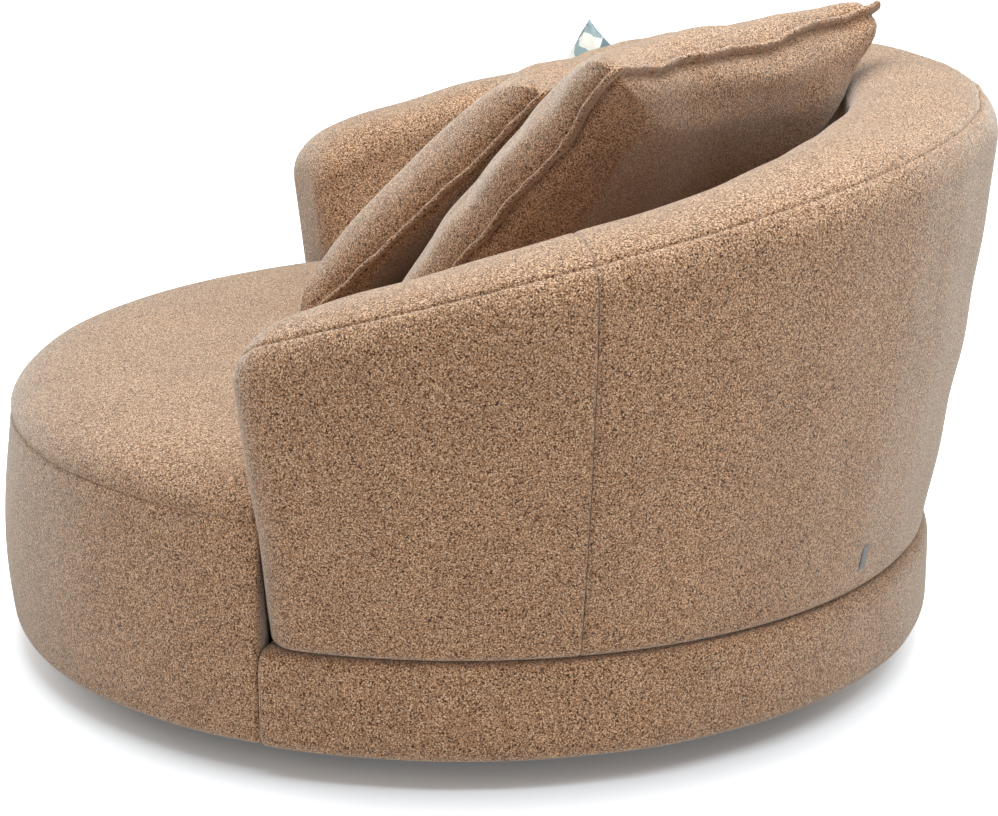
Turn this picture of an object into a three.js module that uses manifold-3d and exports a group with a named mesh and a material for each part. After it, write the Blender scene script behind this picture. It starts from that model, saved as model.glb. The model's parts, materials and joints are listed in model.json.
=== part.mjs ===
// A round swivel love seat with a wrap-around back, a low plinth and loose cushions.
// Millimetres, +Z up. The open front faces -Y and the origin is on the floor, on the swivel's axis.
import * as THREE from 'three';
import { mergeVertices } from 'three/addons/utils/BufferGeometryUtils.js';
import Module from 'manifold-3d';

const wasm = await Module();
wasm.setup();

const degrees = Math.PI / 180;

// Heights above the floor
const hoverGap = 35;
const panelUnderside = 41;
const plinthTop = 170;
const deckTop = 254;
const seatSeamHeight = 337;
const seatCrownHeight = 414;
const backHeight = 804;
const crownDrop = 217;
const crownDropPower = 2.2;

// Radii and angles in plan, angles measured from the middle of the back
const seatRadius = 672;
const seatWidestHeight = 165;
const seatSideBulge = 16;
const seatUnderTuck = 12;
const seatDomePower = 8;
const plinthSetback = 1;
const plinthRadius = seatRadius - plinthSetback;
const plinthDepth = 40;
const plinthPower = 6;
const shellStep = 8;
const shellFootRadius = plinthRadius - shellStep;
const shellFlare = 0.134;
const shellFaceBulge = 5;
const liningBulge = 9;
const armHalfAngle = 113.5 * degrees;
const panelSeamHalfAngle = 77.5 * degrees;

// Upholstered wall
const armThickness = 150;
const backThickness = 200;
const crownRise = 60;
const crownPower = 2.3;
const armEndRound = 48;
const footRound = 12;

// Cloth, foam and the clearances between separate pieces
const clothThickness = 2.5;
const layerGap = 0.4;
const seamGap = 0.6;
const seatGap = 0.3;
const cutOverrun = 40;
const hemWidth = 10;

// Timber frame
const boardThickness = 18;
const plyThickness = 12;
const sidePadDepth = 42;
const frameRadius = seatRadius - sidePadDepth;
const plinthDeckDepth = 130;
const seatBoxRearRadius = frameRadius - plinthDeckDepth;
const seatBoxFrontAngle = 114.6 * degrees;
const deckRimWidth = 66;
const dustCoverInset = 21;
const dustCoverThickness = 1.2;
const crateOffsetX = 190;
const crateFrontY = -250;
const crateRearY = 170;
const crateSlotClearance = 0.6;
const panelCentreHoleRadius = 70;
const lighteningHoleRadius = 70;
const lighteningHoleSetback = 230;
const lighteningHoleCircle = frameRadius - lighteningHoleSetback;

// Shell frame
const outerPad = 20;
const outerPanelThickness = 3;
const shellFrameDepth = 45;
const shellTopPad = 55;
const railClearance = 2.5;
const shellEndPad = 56;
const postWidth = 40;
const postCount = 7;
const postSpan = 100 * degrees;
const shellStudAngles = [-84, -28, 28, 84].map((a) => a * degrees);
const studRadius = 5;
const studHoleRadius = 5.6;
const nutRadius = 9;
const nutHeight = 8;
const studSetback = 14;

// Seat suspension
const strapWidth = 60;
const strapThickness = 2;
const strapPitch = 150;
const strapCount = 3;

// Swivel and foot
const glideHeight = 5;
const glideRadius = 25;
const glideCircle = 350;
const glideCount = 6;
const footDiscRadius = 400;
const footDiscThickness = 18;
const plateThickness = 3;
const plateHalf = 150;
const plateCorner = 24;
const raceRadius = 120;
const raceWidth = 26;
const raceHeight = 5;
const plateHoleRadius = 75;
const ballRadius = 4.5;
const ballCount = 12;
const ballGap = 0.4;
const cageWidth = 14;
const cageThickness = 1.2;
const plateBoltReach = 122;
const plateBoltRadius = 4;
const plateBoltHole = 4.6;
const boltHeadRadius = 7;
const boltHeadHeight = 4;

// Loose cushions
const drawInShare = 0.045;
const cushionCloth = 2;
const flangeWidth = 14;
const flangeHalf = 2.6;
const zipShare = 0.62;
const zipHalf = 1;
const zipSlitHalf = 1.5;
const cushionLift = 0.4;
const nearCushion = {
  size: 620, front: 95, back: 82, softness: 0.18, slantShare: 0.16,
  x: 26.5, y: 227, turn: 38.6, lean: 43, roll: -1.5,
};
const farCushion = {
  size: 560, front: 84, back: 34, softness: 0.2, slantShare: 0.16,
  x: -189, y: 59, turn: 28.4, lean: 46.7, roll: -0.2,
};
const scatterCushion = {
  size: 280, front: 27, back: 28, softness: 0.45, slantShare: 0,
  x: -459.5, y: 211.5, turn: -62.9, lean: 2, roll: 51.9,
};

// Small sewn tab
const tabAngle = 38.3 * degrees;
const tabHeight = 222;
const tabLength = 34;
const tabWidth = 12;
const tabThickness = 1.2;

// Mesh resolution, in steps
const backSteps = 14;
const armSteps = 3;
const endSteps = 4;
const faceSteps = 3;
const crownSteps = 7;
const plinthSteps = 6;
const sideSteps = 4;
const ringSteps = 44;
const hoopSteps = 22;
const cushionSteps = 10;
const scatterSteps = 7;
const smallSteps = 12;
const raceSteps = 2 * ballCount;
const raceArcSteps = 4;

const material = (color, roughness, metalness = 0) =>
  new THREE.MeshStandardMaterial({ color, roughness, metalness });
const boucle = material(0xb08a69, 0.95);
const foam = material(0xe6dcc0, 0.9);
const fibre = material(0xf0efe9, 0.95);
const plywood = material(0xc9a676, 0.7);
const beech = material(0xd2b48c, 0.65);
const fibreboard = material(0x9a7650, 0.85);
const steel = material(0x8c8f93, 0.4, 0.9);
const blackPlastic = material(0x1d1d1f, 0.6);
const blackCloth = material(0x222222, 0.95);
const webbing = material(0x6b5b4a, 0.9);
const greyTape = material(0x8e8b88, 0.8);
const scatterCloth = material(0xa7adb0, 0.85);
const zipPlastic = material(0x7d5f45, 0.5);

const group = new THREE.Group();

// Solids and meshes
function solidFrom(geometry) {
  const bare = geometry.clone();
  bare.deleteAttribute('normal');
  bare.deleteAttribute('uv');
  const merged = mergeVertices(bare.index ? bare.toNonIndexed() : bare, 1e-4);
  const mesh = new wasm.Mesh({
    numProp: 3,
    vertProperties: new Float32Array(merged.attributes.position.array),
    triVerts: new Uint32Array(merged.index.array),
  });
  return new wasm.Manifold(mesh);
}

function geometryFrom(solid) {
  const mesh = solid.getMesh();
  const geometry = new THREE.BufferGeometry();
  const positions = new Float32Array(mesh.numVert * 3);
  for (let i = 0; i < mesh.numVert; i += 1) {
    for (let k = 0; k < 3; k += 1) {
      positions[i * 3 + k] = mesh.vertProperties[i * mesh.numProp + k];
    }
  }
  geometry.setAttribute('position', new THREE.BufferAttribute(positions, 3));
  geometry.setIndex(Array.from(mesh.triVerts));
  geometry.computeVertexNormals();
  return geometry;
}

function add(name, shape, look, parent = group) {
  const geometry = shape.isBufferGeometry ? shape : geometryFrom(shape);
  const mesh = new THREE.Mesh(geometry, look);
  mesh.name = name;
  parent.add(mesh);
  return mesh;
}

function move(geometry, x, y, z) {
  geometry.translate(x, y, z);
  return geometry;
}

// A closed solid of revolution about Z from a profile of [radius, height] points on the axis or closed
function turned(profile, steps = ringSteps) {
  const points = profile.map(([r, z]) => new THREE.Vector2(r, z));
  const geometry = new THREE.LatheGeometry(points, steps);
  geometry.rotateX(Math.PI / 2);
  return outward(geometry);
}

// Faces of a closed geometry turned to point out
function outward(geometry) {
  const flat = geometry.index ? geometry.toNonIndexed() : geometry;
  const p = flat.attributes.position.array;
  let volume = 0;
  for (let i = 0; i < p.length; i += 9) {
    volume += p[i] * (p[i + 4] * p[i + 8] - p[i + 5] * p[i + 7])
      - p[i + 1] * (p[i + 3] * p[i + 8] - p[i + 5] * p[i + 6])
      + p[i + 2] * (p[i + 3] * p[i + 7] - p[i + 4] * p[i + 6]);
  }
  if (volume < 0) {
    for (let i = 0; i < p.length; i += 9) {
      for (let k = 0; k < 3; k += 1) {
        [p[i + 3 + k], p[i + 6 + k]] = [p[i + 6 + k], p[i + 3 + k]];
      }
    }
  }
  flat.deleteAttribute('normal');
  flat.deleteAttribute('uv');
  const merged = mergeVertices(flat, 1e-4);
  merged.computeVertexNormals();
  return merged;
}

// A disc or a ring between two heights
function ring(inner, outer, low, high, steps = ringSteps) {
  if (inner > 0) {
    return turned([[inner, low], [outer, low], [outer, high], [inner, high], [inner, low]], steps);
  }
  return turned([[0, low], [outer, low], [outer, high], [0, high]], steps);
}

function cylinderAt(x, y, radius, low, high, steps = smallSteps) {
  return move(ring(0, radius, low, high, steps), x, y, 0);
}

function boxAt(centre, size) {
  return move(new THREE.BoxGeometry(size[0], size[1], size[2]), centre[0], centre[1], centre[2]);
}

function extruded(shape, low, high, curveSegments = ringSteps) {
  const geometry = new THREE.ExtrudeGeometry(shape, {
    depth: high - low,
    bevelEnabled: false,
    curveSegments,
  });
  return move(geometry, 0, 0, low);
}

const onCircle = (radius, angle) => [radius * Math.sin(angle), radius * Math.cos(angle)];

// A solid lofted about Z through stations, each a closed outline of [radius, height] points
function swept(stations) {
  const contourOf = ({ outline }) => outline.map(([r, z]) => new THREE.Vector2(r, z));
  const backwards = THREE.ShapeUtils.isClockWise(contourOf(stations[0]));
  const ordered = stations.map(({ angle, outline }) => ({
    angle,
    outline: backwards ? [...outline].reverse() : outline,
  }));
  const count = ordered[0].outline.length;
  const positions = ordered.flatMap(({ angle, outline }) =>
    outline.flatMap(([r, z]) => [...onCircle(r, angle), z]));
  const index = [];
  for (let s = 0; s < ordered.length - 1; s += 1) {
    for (let i = 0; i < count; i += 1) {
      const a = s * count + i;
      const b = s * count + ((i + 1) % count);
      index.push(a, b, a + count, b, b + count, a + count);
    }
  }
  const end = (ordered.length - 1) * count;
  for (const [a, b, c] of THREE.ShapeUtils.triangulateShape(contourOf(ordered[0]), [])) {
    index.push(a, c, b);
  }
  for (const [a, b, c] of THREE.ShapeUtils.triangulateShape(contourOf(ordered.at(-1)), [])) {
    index.push(end + a, end + b, end + c);
  }
  const geometry = new THREE.BufferGeometry();
  geometry.setAttribute('position', new THREE.Float32BufferAttribute(positions, 3));
  geometry.setIndex(index);
  return outward(geometry);
}

const spread = (from, to, steps) =>
  Array.from({ length: steps + 1 }, (_, i) => from + ((to - from) * i) / steps);

// The upholstered wall: outer face, thickness and crown as formulas of angle and height
const riseShareAt = (z) =>
  THREE.MathUtils.clamp((z - plinthTop) / (backHeight - plinthTop), 0, 1);

const coneRadiusAt = (z) => shellFootRadius + shellFlare * (z - plinthTop);

const outerRadiusAt = (z) => coneRadiusAt(z) + shellFaceBulge * Math.sin(Math.PI * riseShareAt(z));

const crownHeightAt = (angle) =>
  backHeight - crownDrop * Math.pow(Math.abs(angle) / armHalfAngle, crownDropPower);

function thicknessAt(angle, z) {
  const towardsBack = 0.5 * (1 + Math.cos((Math.PI * angle) / armHalfAngle));
  const rise = riseShareAt(z);
  return armThickness + (backThickness - armThickness) * towardsBack * rise
    + (shellFaceBulge + liningBulge) * Math.sin(Math.PI * rise);
}

const innerRadiusAt = (angle, z) => outerRadiusAt(z) - thicknessAt(angle, z);

const signedPower = (value, power) => Math.sign(value) * Math.pow(Math.abs(value), power);

const shellFootZ = plinthTop + seatGap;

// One closed section of the wall, drawn in from the finished surface by inset and run down to footZ
function wallOutline(angle, inset, footZ) {
  const shoulder = crownHeightAt(angle) - crownRise;
  const outer = outerRadiusAt(shoulder) - inset;
  const inner = innerRadiusAt(angle, shoulder) + inset;
  const middle = (outer + inner) / 2;
  const half = (outer - inner) / 2;
  const heights = spread(shellFootZ + footRound, shoulder, faceSteps);
  const footOuter = outerRadiusAt(shellFootZ) - inset - footRound;
  const footInner = innerRadiusAt(angle, shellFootZ) + inset;
  const below = footZ < shellFootZ;
  return [
    ...(below ? [[footOuter, footZ]] : []),
    [footOuter, shellFootZ],
    ...heights.slice(0, -1).map((z) => [outerRadiusAt(z) - inset, z]),
    ...spread(0, Math.PI, crownSteps).map((a) => [
      middle + half * signedPower(Math.cos(a), 2 / crownPower),
      shoulder + (crownRise - inset) * Math.pow(Math.sin(a), 2 / crownPower),
    ]),
    ...heights.slice(0, -1).reverse().map((z) => [innerRadiusAt(angle, z) + inset, z]),
    [footInner, shellFootZ],
    ...(below ? [[footInner, footZ]] : []),
  ];
}

// Angles that all sections round the wall share, so that nested layers have parallel facets
const wallMiddleRadius = shellFootRadius - armThickness / 2;
const armRoundAngle = armEndRound / wallMiddleRadius;
const plainHalfAngle = armHalfAngle - armRoundAngle;
const armAngles = spread(panelSeamHalfAngle, plainHalfAngle, armSteps);
const wallAngles = [
  ...armAngles.slice(1).reverse().map((angle) => -angle),
  ...spread(-panelSeamHalfAngle, panelSeamHalfAngle, backSteps),
  ...armAngles.slice(1),
];

function anglesBetween(low, high) {
  const apart = armRoundAngle / endSteps / endSteps;
  const between = wallAngles.filter((angle) => angle > low + apart && angle < high - apart);
  return [low, ...between, high];
}

// Sections between two limits, with the rounding of an arm's end where one is reached
function wallStations(from, to, roundFrom, roundTo) {
  const rounding = spread(0, Math.PI / 2, endSteps).slice(0, -1).map((a) => ({
    back: armRoundAngle * (1 - Math.cos(a)),
    extra: armEndRound * (1 - Math.sin(a)),
  }));
  const low = roundFrom ? from + armRoundAngle : from;
  const high = roundTo ? to - armRoundAngle : to;
  const plain = anglesBetween(low, high).map((angle) => ({ angle, extra: 0 }));
  const start = roundFrom
    ? rounding.map(({ back, extra }) => ({ angle: from + back, extra }))
    : [];
  const end = roundTo
    ? rounding.map(({ back, extra }) => ({ angle: to - back, extra })).reverse()
    : [];
  return [...start, ...plain, ...end];
}

function wallSolid({ from, to, inset, footZ, roundFrom = false, roundTo = false }) {
  return swept(wallStations(from, to, roundFrom, roundTo).map(({ angle, extra }) => ({
    angle,
    outline: wallOutline(angle, inset + extra, footZ),
  })));
}

// A band round the back whose section is an outline given by a function of the angle
function band(halfAngle, outlineAt) {
  return swept(anglesBetween(-halfAngle, halfAngle).map((angle) => ({
    angle,
    outline: outlineAt(angle),
  })));
}

// Cloth of the wall: one back panel and two arm panels, sewn at upright seams
const insetAngle = (inset) => inset / wallMiddleRadius;

function shellCovers() {
  const seam = panelSeamHalfAngle;
  const halfSeam = insetAngle(seamGap / 2);
  const over = insetAngle(cutOverrun);
  const end = armHalfAngle;
  const innerEnd = end - insetAngle(clothThickness);
  const panel = (outside, inside) => solidFrom(wallSolid({
    inset: 0, footZ: shellFootZ, ...outside,
  })).subtract(solidFrom(wallSolid({
    inset: clothThickness, footZ: shellFootZ - cutOverrun, ...inside,
  })));
  add('shell_cover_back', panel(
    { from: halfSeam - seam, to: seam - halfSeam },
    { from: -seam - over, to: seam + over },
  ), boucle);
  add('shell_cover_arm_right', panel(
    { from: seam + halfSeam, to: end, roundTo: true },
    { from: seam - over, to: innerEnd, roundTo: true },
  ), boucle);
  add('shell_cover_arm_left', panel(
    { from: -end, to: -seam - halfSeam, roundFrom: true },
    { from: -innerEnd, to: over - seam, roundFrom: true },
  ), boucle);
}

const panelOuterAt = (z) => coneRadiusAt(z) - outerPad;
const frameOuterAt = (z) => panelOuterAt(z) - outerPanelThickness - layerGap;
const frameInnerAt = (z) => frameOuterAt(z) - shellFrameDepth;
const railTopAt = (angle) => crownHeightAt(angle) - shellTopPad;
const frameHalfAngle = armHalfAngle - insetAngle(shellEndPad);

function shellFoam() {
  const padInset = clothThickness + layerGap;
  const block = solidFrom(wallSolid({
    from: -armHalfAngle + insetAngle(padInset),
    to: armHalfAngle - insetAngle(padInset),
    inset: padInset,
    footZ: shellFootZ,
    roundFrom: true,
    roundTo: true,
  }));
  const low = shellFootZ - cutOverrun;
  const pocket = solidFrom(band(frameHalfAngle + insetAngle(layerGap), (angle) => {
    const top = railTopAt(angle) + railClearance;
    return [
      [panelOuterAt(low) + layerGap, low],
      [panelOuterAt(top) + layerGap, top],
      [frameInnerAt(top) - layerGap, top],
      [frameInnerAt(low) - layerGap, low],
    ];
  }));
  add('shell_foam', block.subtract(pocket), foam);
}

const studCircle = frameOuterAt(shellFootZ) - shellFrameDepth / 2 - studSetback;

function slopedBand(lowAt, highAt, outerAt, innerAt) {
  return band(frameHalfAngle, (angle) => {
    const low = lowAt(angle);
    const high = highAt(angle);
    return [
      [outerAt(low), low],
      [outerAt(high), high],
      [innerAt(high), high],
      [innerAt(low), low],
    ];
  });
}

function shellFrame() {
  const footTop = shellFootZ + boardThickness;
  const studs = shellStudAngles.map((angle) => {
    const [x, y] = onCircle(studCircle, angle);
    const shank = cylinderAt(x, y, studRadius, plinthTop - boardThickness - nutHeight, footTop);
    const nut = cylinderAt(
      x, y, nutRadius,
      plinthTop - boardThickness - nutHeight, plinthTop - boardThickness - seatGap, 6,
    );
    return solidFrom(shank).add(solidFrom(nut));
  });
  const rail = solidFrom(slopedBand(
    () => shellFootZ, () => footTop, frameOuterAt, frameInnerAt,
  ));
  add('shell_bottom_rail', studs.reduce((solid, stud) => solid.add(stud), rail), plywood);
  add('shell_top_rail', slopedBand(
    (angle) => railTopAt(angle) - boardThickness, railTopAt, frameOuterAt, frameInnerAt,
  ), plywood);
  const railRoom = solidFrom(slopedBand(
    (angle) => railTopAt(angle) - boardThickness - seatGap, railTopAt,
    (z) => frameOuterAt(z) + layerGap, (z) => frameInnerAt(z) - layerGap,
  ));
  const postRoom = solidFrom(slopedBand(
    () => footTop + seatGap, (angle) => railTopAt(angle) - boardThickness / 2,
    frameOuterAt, frameInnerAt,
  )).subtract(railRoom);
  spread(-postSpan, postSpan, postCount - 1).forEach((centre, i) => {
    const half = postWidth / 2 / frameInnerAt(footTop);
    const blank = solidFrom(swept([centre - half, centre + half].map((angle) => ({
      angle,
      outline: [
        [frameInnerAt(footTop) - cutOverrun, footTop],
        [panelOuterAt(backHeight) + cutOverrun, footTop],
        [panelOuterAt(backHeight) + cutOverrun, backHeight],
        [frameInnerAt(footTop) - cutOverrun, backHeight],
      ],
    }))));
    add(`shell_post_${i + 1}`, blank.intersect(postRoom), beech);
  });
  add('shell_outer_panel', slopedBand(
    () => shellFootZ, railTopAt,
    panelOuterAt, (z) => panelOuterAt(z) - outerPanelThickness,
  ), fibreboard);
}

// The round seat: a drum with a slightly barrelled side and a crowned top
const seatSideRadiusAt = (z) =>
  seatRadius - seatSideBulge
  * Math.pow((z - seatWidestHeight) / (seatSeamHeight - seatWidestHeight), 2);

const seatTopAt = (r) => seatSeamHeight + (seatCrownHeight - seatSeamHeight)
  * Math.sqrt(Math.max(0, 1 - Math.pow(r / seatSideRadiusAt(seatSeamHeight), seatDomePower)));

const domeShares = [0.99, 0.96, 0.9, 0.78, 0.55];

function drumProfile(inset) {
  const bottom = hoverGap + inset;
  const side = spread(hoverGap + seatUnderTuck, seatSeamHeight, sideSteps)
    .map((z) => [seatSideRadiusAt(z) - inset, z]);
  const edge = seatSideRadiusAt(seatSeamHeight);
  const dome = domeShares.map((share) => [share * (edge - inset), seatTopAt(share * edge) - inset]);
  return [
    [0, bottom],
    [seatSideRadiusAt(hoverGap) - seatUnderTuck - inset, bottom],
    ...side,
    ...dome,
    [0, seatCrownHeight - inset],
  ];
}

// Space that the wall takes out of the seat: the wall grown by a clearance, open outwards
function wallClearance(gap) {
  const limit = armHalfAngle + insetAngle(gap);
  const grown = solidFrom(wallSolid({
    from: -limit, to: limit, inset: -gap, footZ: plinthTop - gap, roundFrom: true, roundTo: true,
  }));
  const outside = solidFrom(band(plainHalfAngle, () => [
    [wallMiddleRadius, plinthTop - gap],
    [seatRadius + cutOverrun, plinthTop - gap],
    [seatRadius + cutOverrun, backHeight],
    [wallMiddleRadius, backHeight],
  ]));
  return grown.add(outside);
}

// A prism over the sector of the plan behind the arm ends
function rearSector(radius, halfAngle, low, high) {
  const shape = new THREE.Shape();
  shape.moveTo(0, 0);
  for (const angle of spread(-halfAngle, halfAngle, hoopSteps)) {
    shape.lineTo(...onCircle(radius, angle));
  }
  shape.closePath();
  return solidFrom(extruded(shape, low, high));
}

const seatFoamBottom = deckTop + 2 * strapThickness + 2 * seatGap;

function seatUpholstery() {
  const wide = seatRadius + cutOverrun;
  const rearAngle = armHalfAngle + insetAngle(seamGap);
  const behindArms = (high) => rearSector(wide, rearAngle, hoverGap - cutOverrun, high);
  const seatWell = solidFrom(ring(0, frameRadius, hoverGap - cutOverrun, seatFoamBottom));
  const hem = solidFrom(ring(0, frameRadius, hoverGap - cutOverrun, hoverGap + hemWidth));
  const cover = solidFrom(turned(drumProfile(0)))
    .subtract(solidFrom(turned(drumProfile(clothThickness))))
    .subtract(wallClearance(seamGap))
    .subtract(behindArms(plinthTop))
    .subtract(behindArms(seatFoamBottom).intersect(seatWell))
    .subtract(hem);
  const seamLow = seatSeamHeight - seamGap / 2;
  const seamHigh = seatSeamHeight + seamGap / 2;
  add('seat_cover_side', cover.subtract(solidFrom(ring(0, wide, seamLow, backHeight, 12))), boucle);
  add('seat_cover_top', cover.subtract(solidFrom(ring(0, wide, 0, seamHigh, 12))), boucle);
  const padding = solidFrom(turned(drumProfile(clothThickness + layerGap)))
    .subtract(wallClearance(seamGap + clothThickness));
  add('seat_foam', padding.subtract(
    solidFrom(ring(0, wide, hoverGap - cutOverrun, seatFoamBottom)),
  ), foam);
  add('seat_front_foam', padding
    .subtract(solidFrom(ring(0, wide, seatFoamBottom - layerGap, backHeight)))
    .subtract(behindArms(plinthTop))
    .subtract(solidFrom(ring(0, frameRadius + layerGap, 0, backHeight))), foam);
}

// The plinth under the wall: a band with rounded edges and a flat bulge
function plinthArc(inset) {
  const middle = (plinthTop + hoverGap) / 2;
  const halfHeight = (plinthTop - hoverGap) / 2 - inset;
  return spread(-Math.PI / 2, Math.PI / 2, plinthSteps).map((a) => [
    plinthRadius - plinthDepth + (plinthDepth - inset) * Math.pow(Math.cos(a), 2 / plinthPower),
    middle + halfHeight * signedPower(Math.sin(a), 2 / plinthPower),
  ]);
}

function plinthUpholstery() {
  const halfAngle = armHalfAngle - insetAngle(seamGap);
  const cover = band(halfAngle, () => [
    ...plinthArc(0),
    ...plinthArc(clothThickness).reverse(),
  ]);
  const frameRoom = solidFrom(ring(0, frameRadius + layerGap, 0, backHeight));
  add('plinth_cover', solidFrom(cover).subtract(frameRoom), boucle);
  const pad = band(halfAngle, () => {
    const arc = plinthArc(clothThickness + layerGap);
    return [
      [frameRadius - cutOverrun, arc[0][1]],
      ...arc.slice(1, -1),
      [frameRadius - cutOverrun, arc.at(-1)[1]],
    ];
  });
  add('plinth_foam', solidFrom(pad).subtract(frameRoom), foam);
}

// The seat box in plan: full radius at the open front, drawn in behind the arm ends
function seatBoxPrism(inset, low, high) {
  const rear = solidFrom(ring(0, seatBoxRearRadius - inset, low, high));
  const behind = rearSector(
    seatRadius + cutOverrun, seatBoxFrontAngle + inset / seatBoxRearRadius,
    low - cutOverrun, high + cutOverrun,
  );
  return rear.add(solidFrom(ring(0, frameRadius - inset, low, high)).subtract(behind));
}

const panelTop = panelUnderside + boardThickness;
const deckUnderside = deckTop - boardThickness;

const plateBolts = [[1, 1], [1, -1], [-1, 1], [-1, -1]]
  .map(([sx, sy]) => [sx * plateBoltReach, sy * plateBoltReach]);

function baseFrame() {
  let panel = solidFrom(ring(panelCentreHoleRadius, frameRadius, panelUnderside, panelTop));
  for (const angle of [0, 90, 180, 270]) {
    const [x, y] = onCircle(lighteningHoleCircle, angle * degrees);
    panel = panel.subtract(solidFrom(cylinderAt(
      x, y, lighteningHoleRadius, panelUnderside - cutOverrun, panelTop + cutOverrun,
    )));
  }
  for (const [x, y] of plateBolts) {
    panel = panel.subtract(solidFrom(cylinderAt(
      x, y, plateBoltHole, panelUnderside - cutOverrun, panelTop + cutOverrun, 8,
    )));
  }
  add('base_panel', panel, plywood);

  add('seat_box_wall', seatBoxPrism(0, panelTop, deckUnderside).subtract(
    seatBoxPrism(plyThickness, panelTop - cutOverrun, deckTop),
  ), plywood);
  add('seat_deck', seatBoxPrism(0, deckUnderside, deckTop).subtract(
    seatBoxPrism(deckRimWidth, panelTop, deckTop + cutOverrun),
  ), plywood);

  const crateRoom = seatBoxPrism(plyThickness + seatGap, panelTop, deckUnderside);
  const crateHeight = deckUnderside - panelTop;
  const crateMiddle = (deckUnderside + panelTop) / 2;
  const reach = 2 * frameRadius;
  const slot = plyThickness + crateSlotClearance;
  const longBoards = [-crateOffsetX, crateOffsetX];
  const crossBoards = [crateFrontY, crateRearY];
  longBoards.forEach((x, i) => {
    let board = solidFrom(boxAt([x, 0, crateMiddle], [plyThickness, reach, crateHeight]))
      .intersect(crateRoom);
    for (const y of crossBoards) {
      board = board.subtract(solidFrom(boxAt(
        [x, y, deckUnderside], [slot + cutOverrun, slot, crateHeight + seatGap],
      )));
    }
    add(`crate_long_${i + 1}`, board, plywood);
  });
  crossBoards.forEach((y, i) => {
    let board = solidFrom(boxAt([0, y, crateMiddle], [reach, plyThickness, crateHeight]))
      .intersect(crateRoom);
    for (const x of longBoards) {
      board = board.subtract(solidFrom(boxAt(
        [x, y, panelTop], [slot, slot + cutOverrun, crateHeight],
      )));
    }
    add(`crate_cross_${i + 1}`, board, plywood);
  });

  const plinthAngle = armHalfAngle - insetAngle(seamGap);
  const plinthDeckLow = plinthTop - boardThickness;
  const rearRoom = rearSector(seatRadius + cutOverrun, plinthAngle, panelUnderside, plinthTop);
  add('plinth_hoop', solidFrom(ring(
    frameRadius - plyThickness, frameRadius, panelTop, plinthDeckLow,
  )).intersect(rearRoom), plywood);
  let plinthDeck = solidFrom(ring(0, frameRadius, plinthDeckLow, plinthTop))
    .intersect(rearRoom)
    .subtract(seatBoxPrism(-seatGap, panelUnderside, deckTop));
  for (const angle of shellStudAngles) {
    const [x, y] = onCircle(studCircle, angle);
    plinthDeck = plinthDeck.subtract(solidFrom(cylinderAt(
      x, y, studHoleRadius, plinthDeckLow - cutOverrun, plinthTop + cutOverrun, 8,
    )));
  }
  add('plinth_deck', plinthDeck, plywood);
}

// Elastic straps over the deck's opening, one layer each way
function suspension() {
  const opening = deckRimWidth / 2;
  const room = seatBoxPrism(opening, deckTop, seatFoamBottom);
  spread(-1, 1, strapCount - 1).forEach((place, i) => {
    const lowLayer = deckTop + seatGap;
    const highLayer = lowLayer + strapThickness + seatGap / 2;
    add(`strap_long_${i + 1}`, solidFrom(boxAt(
      [place * strapPitch, 0, lowLayer + strapThickness / 2],
      [strapWidth, 2 * frameRadius, strapThickness],
    )).intersect(room), webbing);
    add(`strap_cross_${i + 1}`, solidFrom(boxAt(
      [0, place * strapPitch, highLayer + strapThickness / 2],
      [2 * frameRadius, strapWidth, strapThickness],
    )).intersect(room), webbing);
  });
}

function dustCover() {
  add('dust_cover', ring(
    plateHalf * Math.SQRT2, frameRadius - dustCoverInset,
    panelUnderside - seatGap - dustCoverThickness, panelUnderside - seatGap,
  ), blackCloth);
}

// Ball-bearing turntable between the foot disc and the frame
function roundedPlate(half, corner) {
  const shape = new THREE.Shape();
  shape.moveTo(-half + corner, -half);
  shape.lineTo(half - corner, -half);
  shape.lineTo(half, -half + corner);
  shape.lineTo(half, half - corner);
  shape.lineTo(half - corner, half);
  shape.lineTo(-half + corner, half);
  shape.lineTo(-half, half - corner);
  shape.lineTo(-half, -half + corner);
  shape.closePath();
  return shape;
}

function raceProfile(base, towards, centre) {
  const inner = raceRadius - raceWidth / 2;
  const outer = raceRadius + raceWidth / 2;
  const face = base + towards * raceHeight;
  const groove = ballRadius + ballGap;
  const start = Math.asin((Math.abs(centre - face)) / groove);
  const arc = spread(start, Math.PI - start, raceArcSteps).map((a) => [
    raceRadius + groove * Math.cos(a),
    centre - towards * groove * Math.sin(a),
  ]);
  return [[inner, base], [outer, base], [outer, face], ...arc, [inner, face], [inner, base]];
}

const footTopZ = glideHeight + footDiscThickness;

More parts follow.
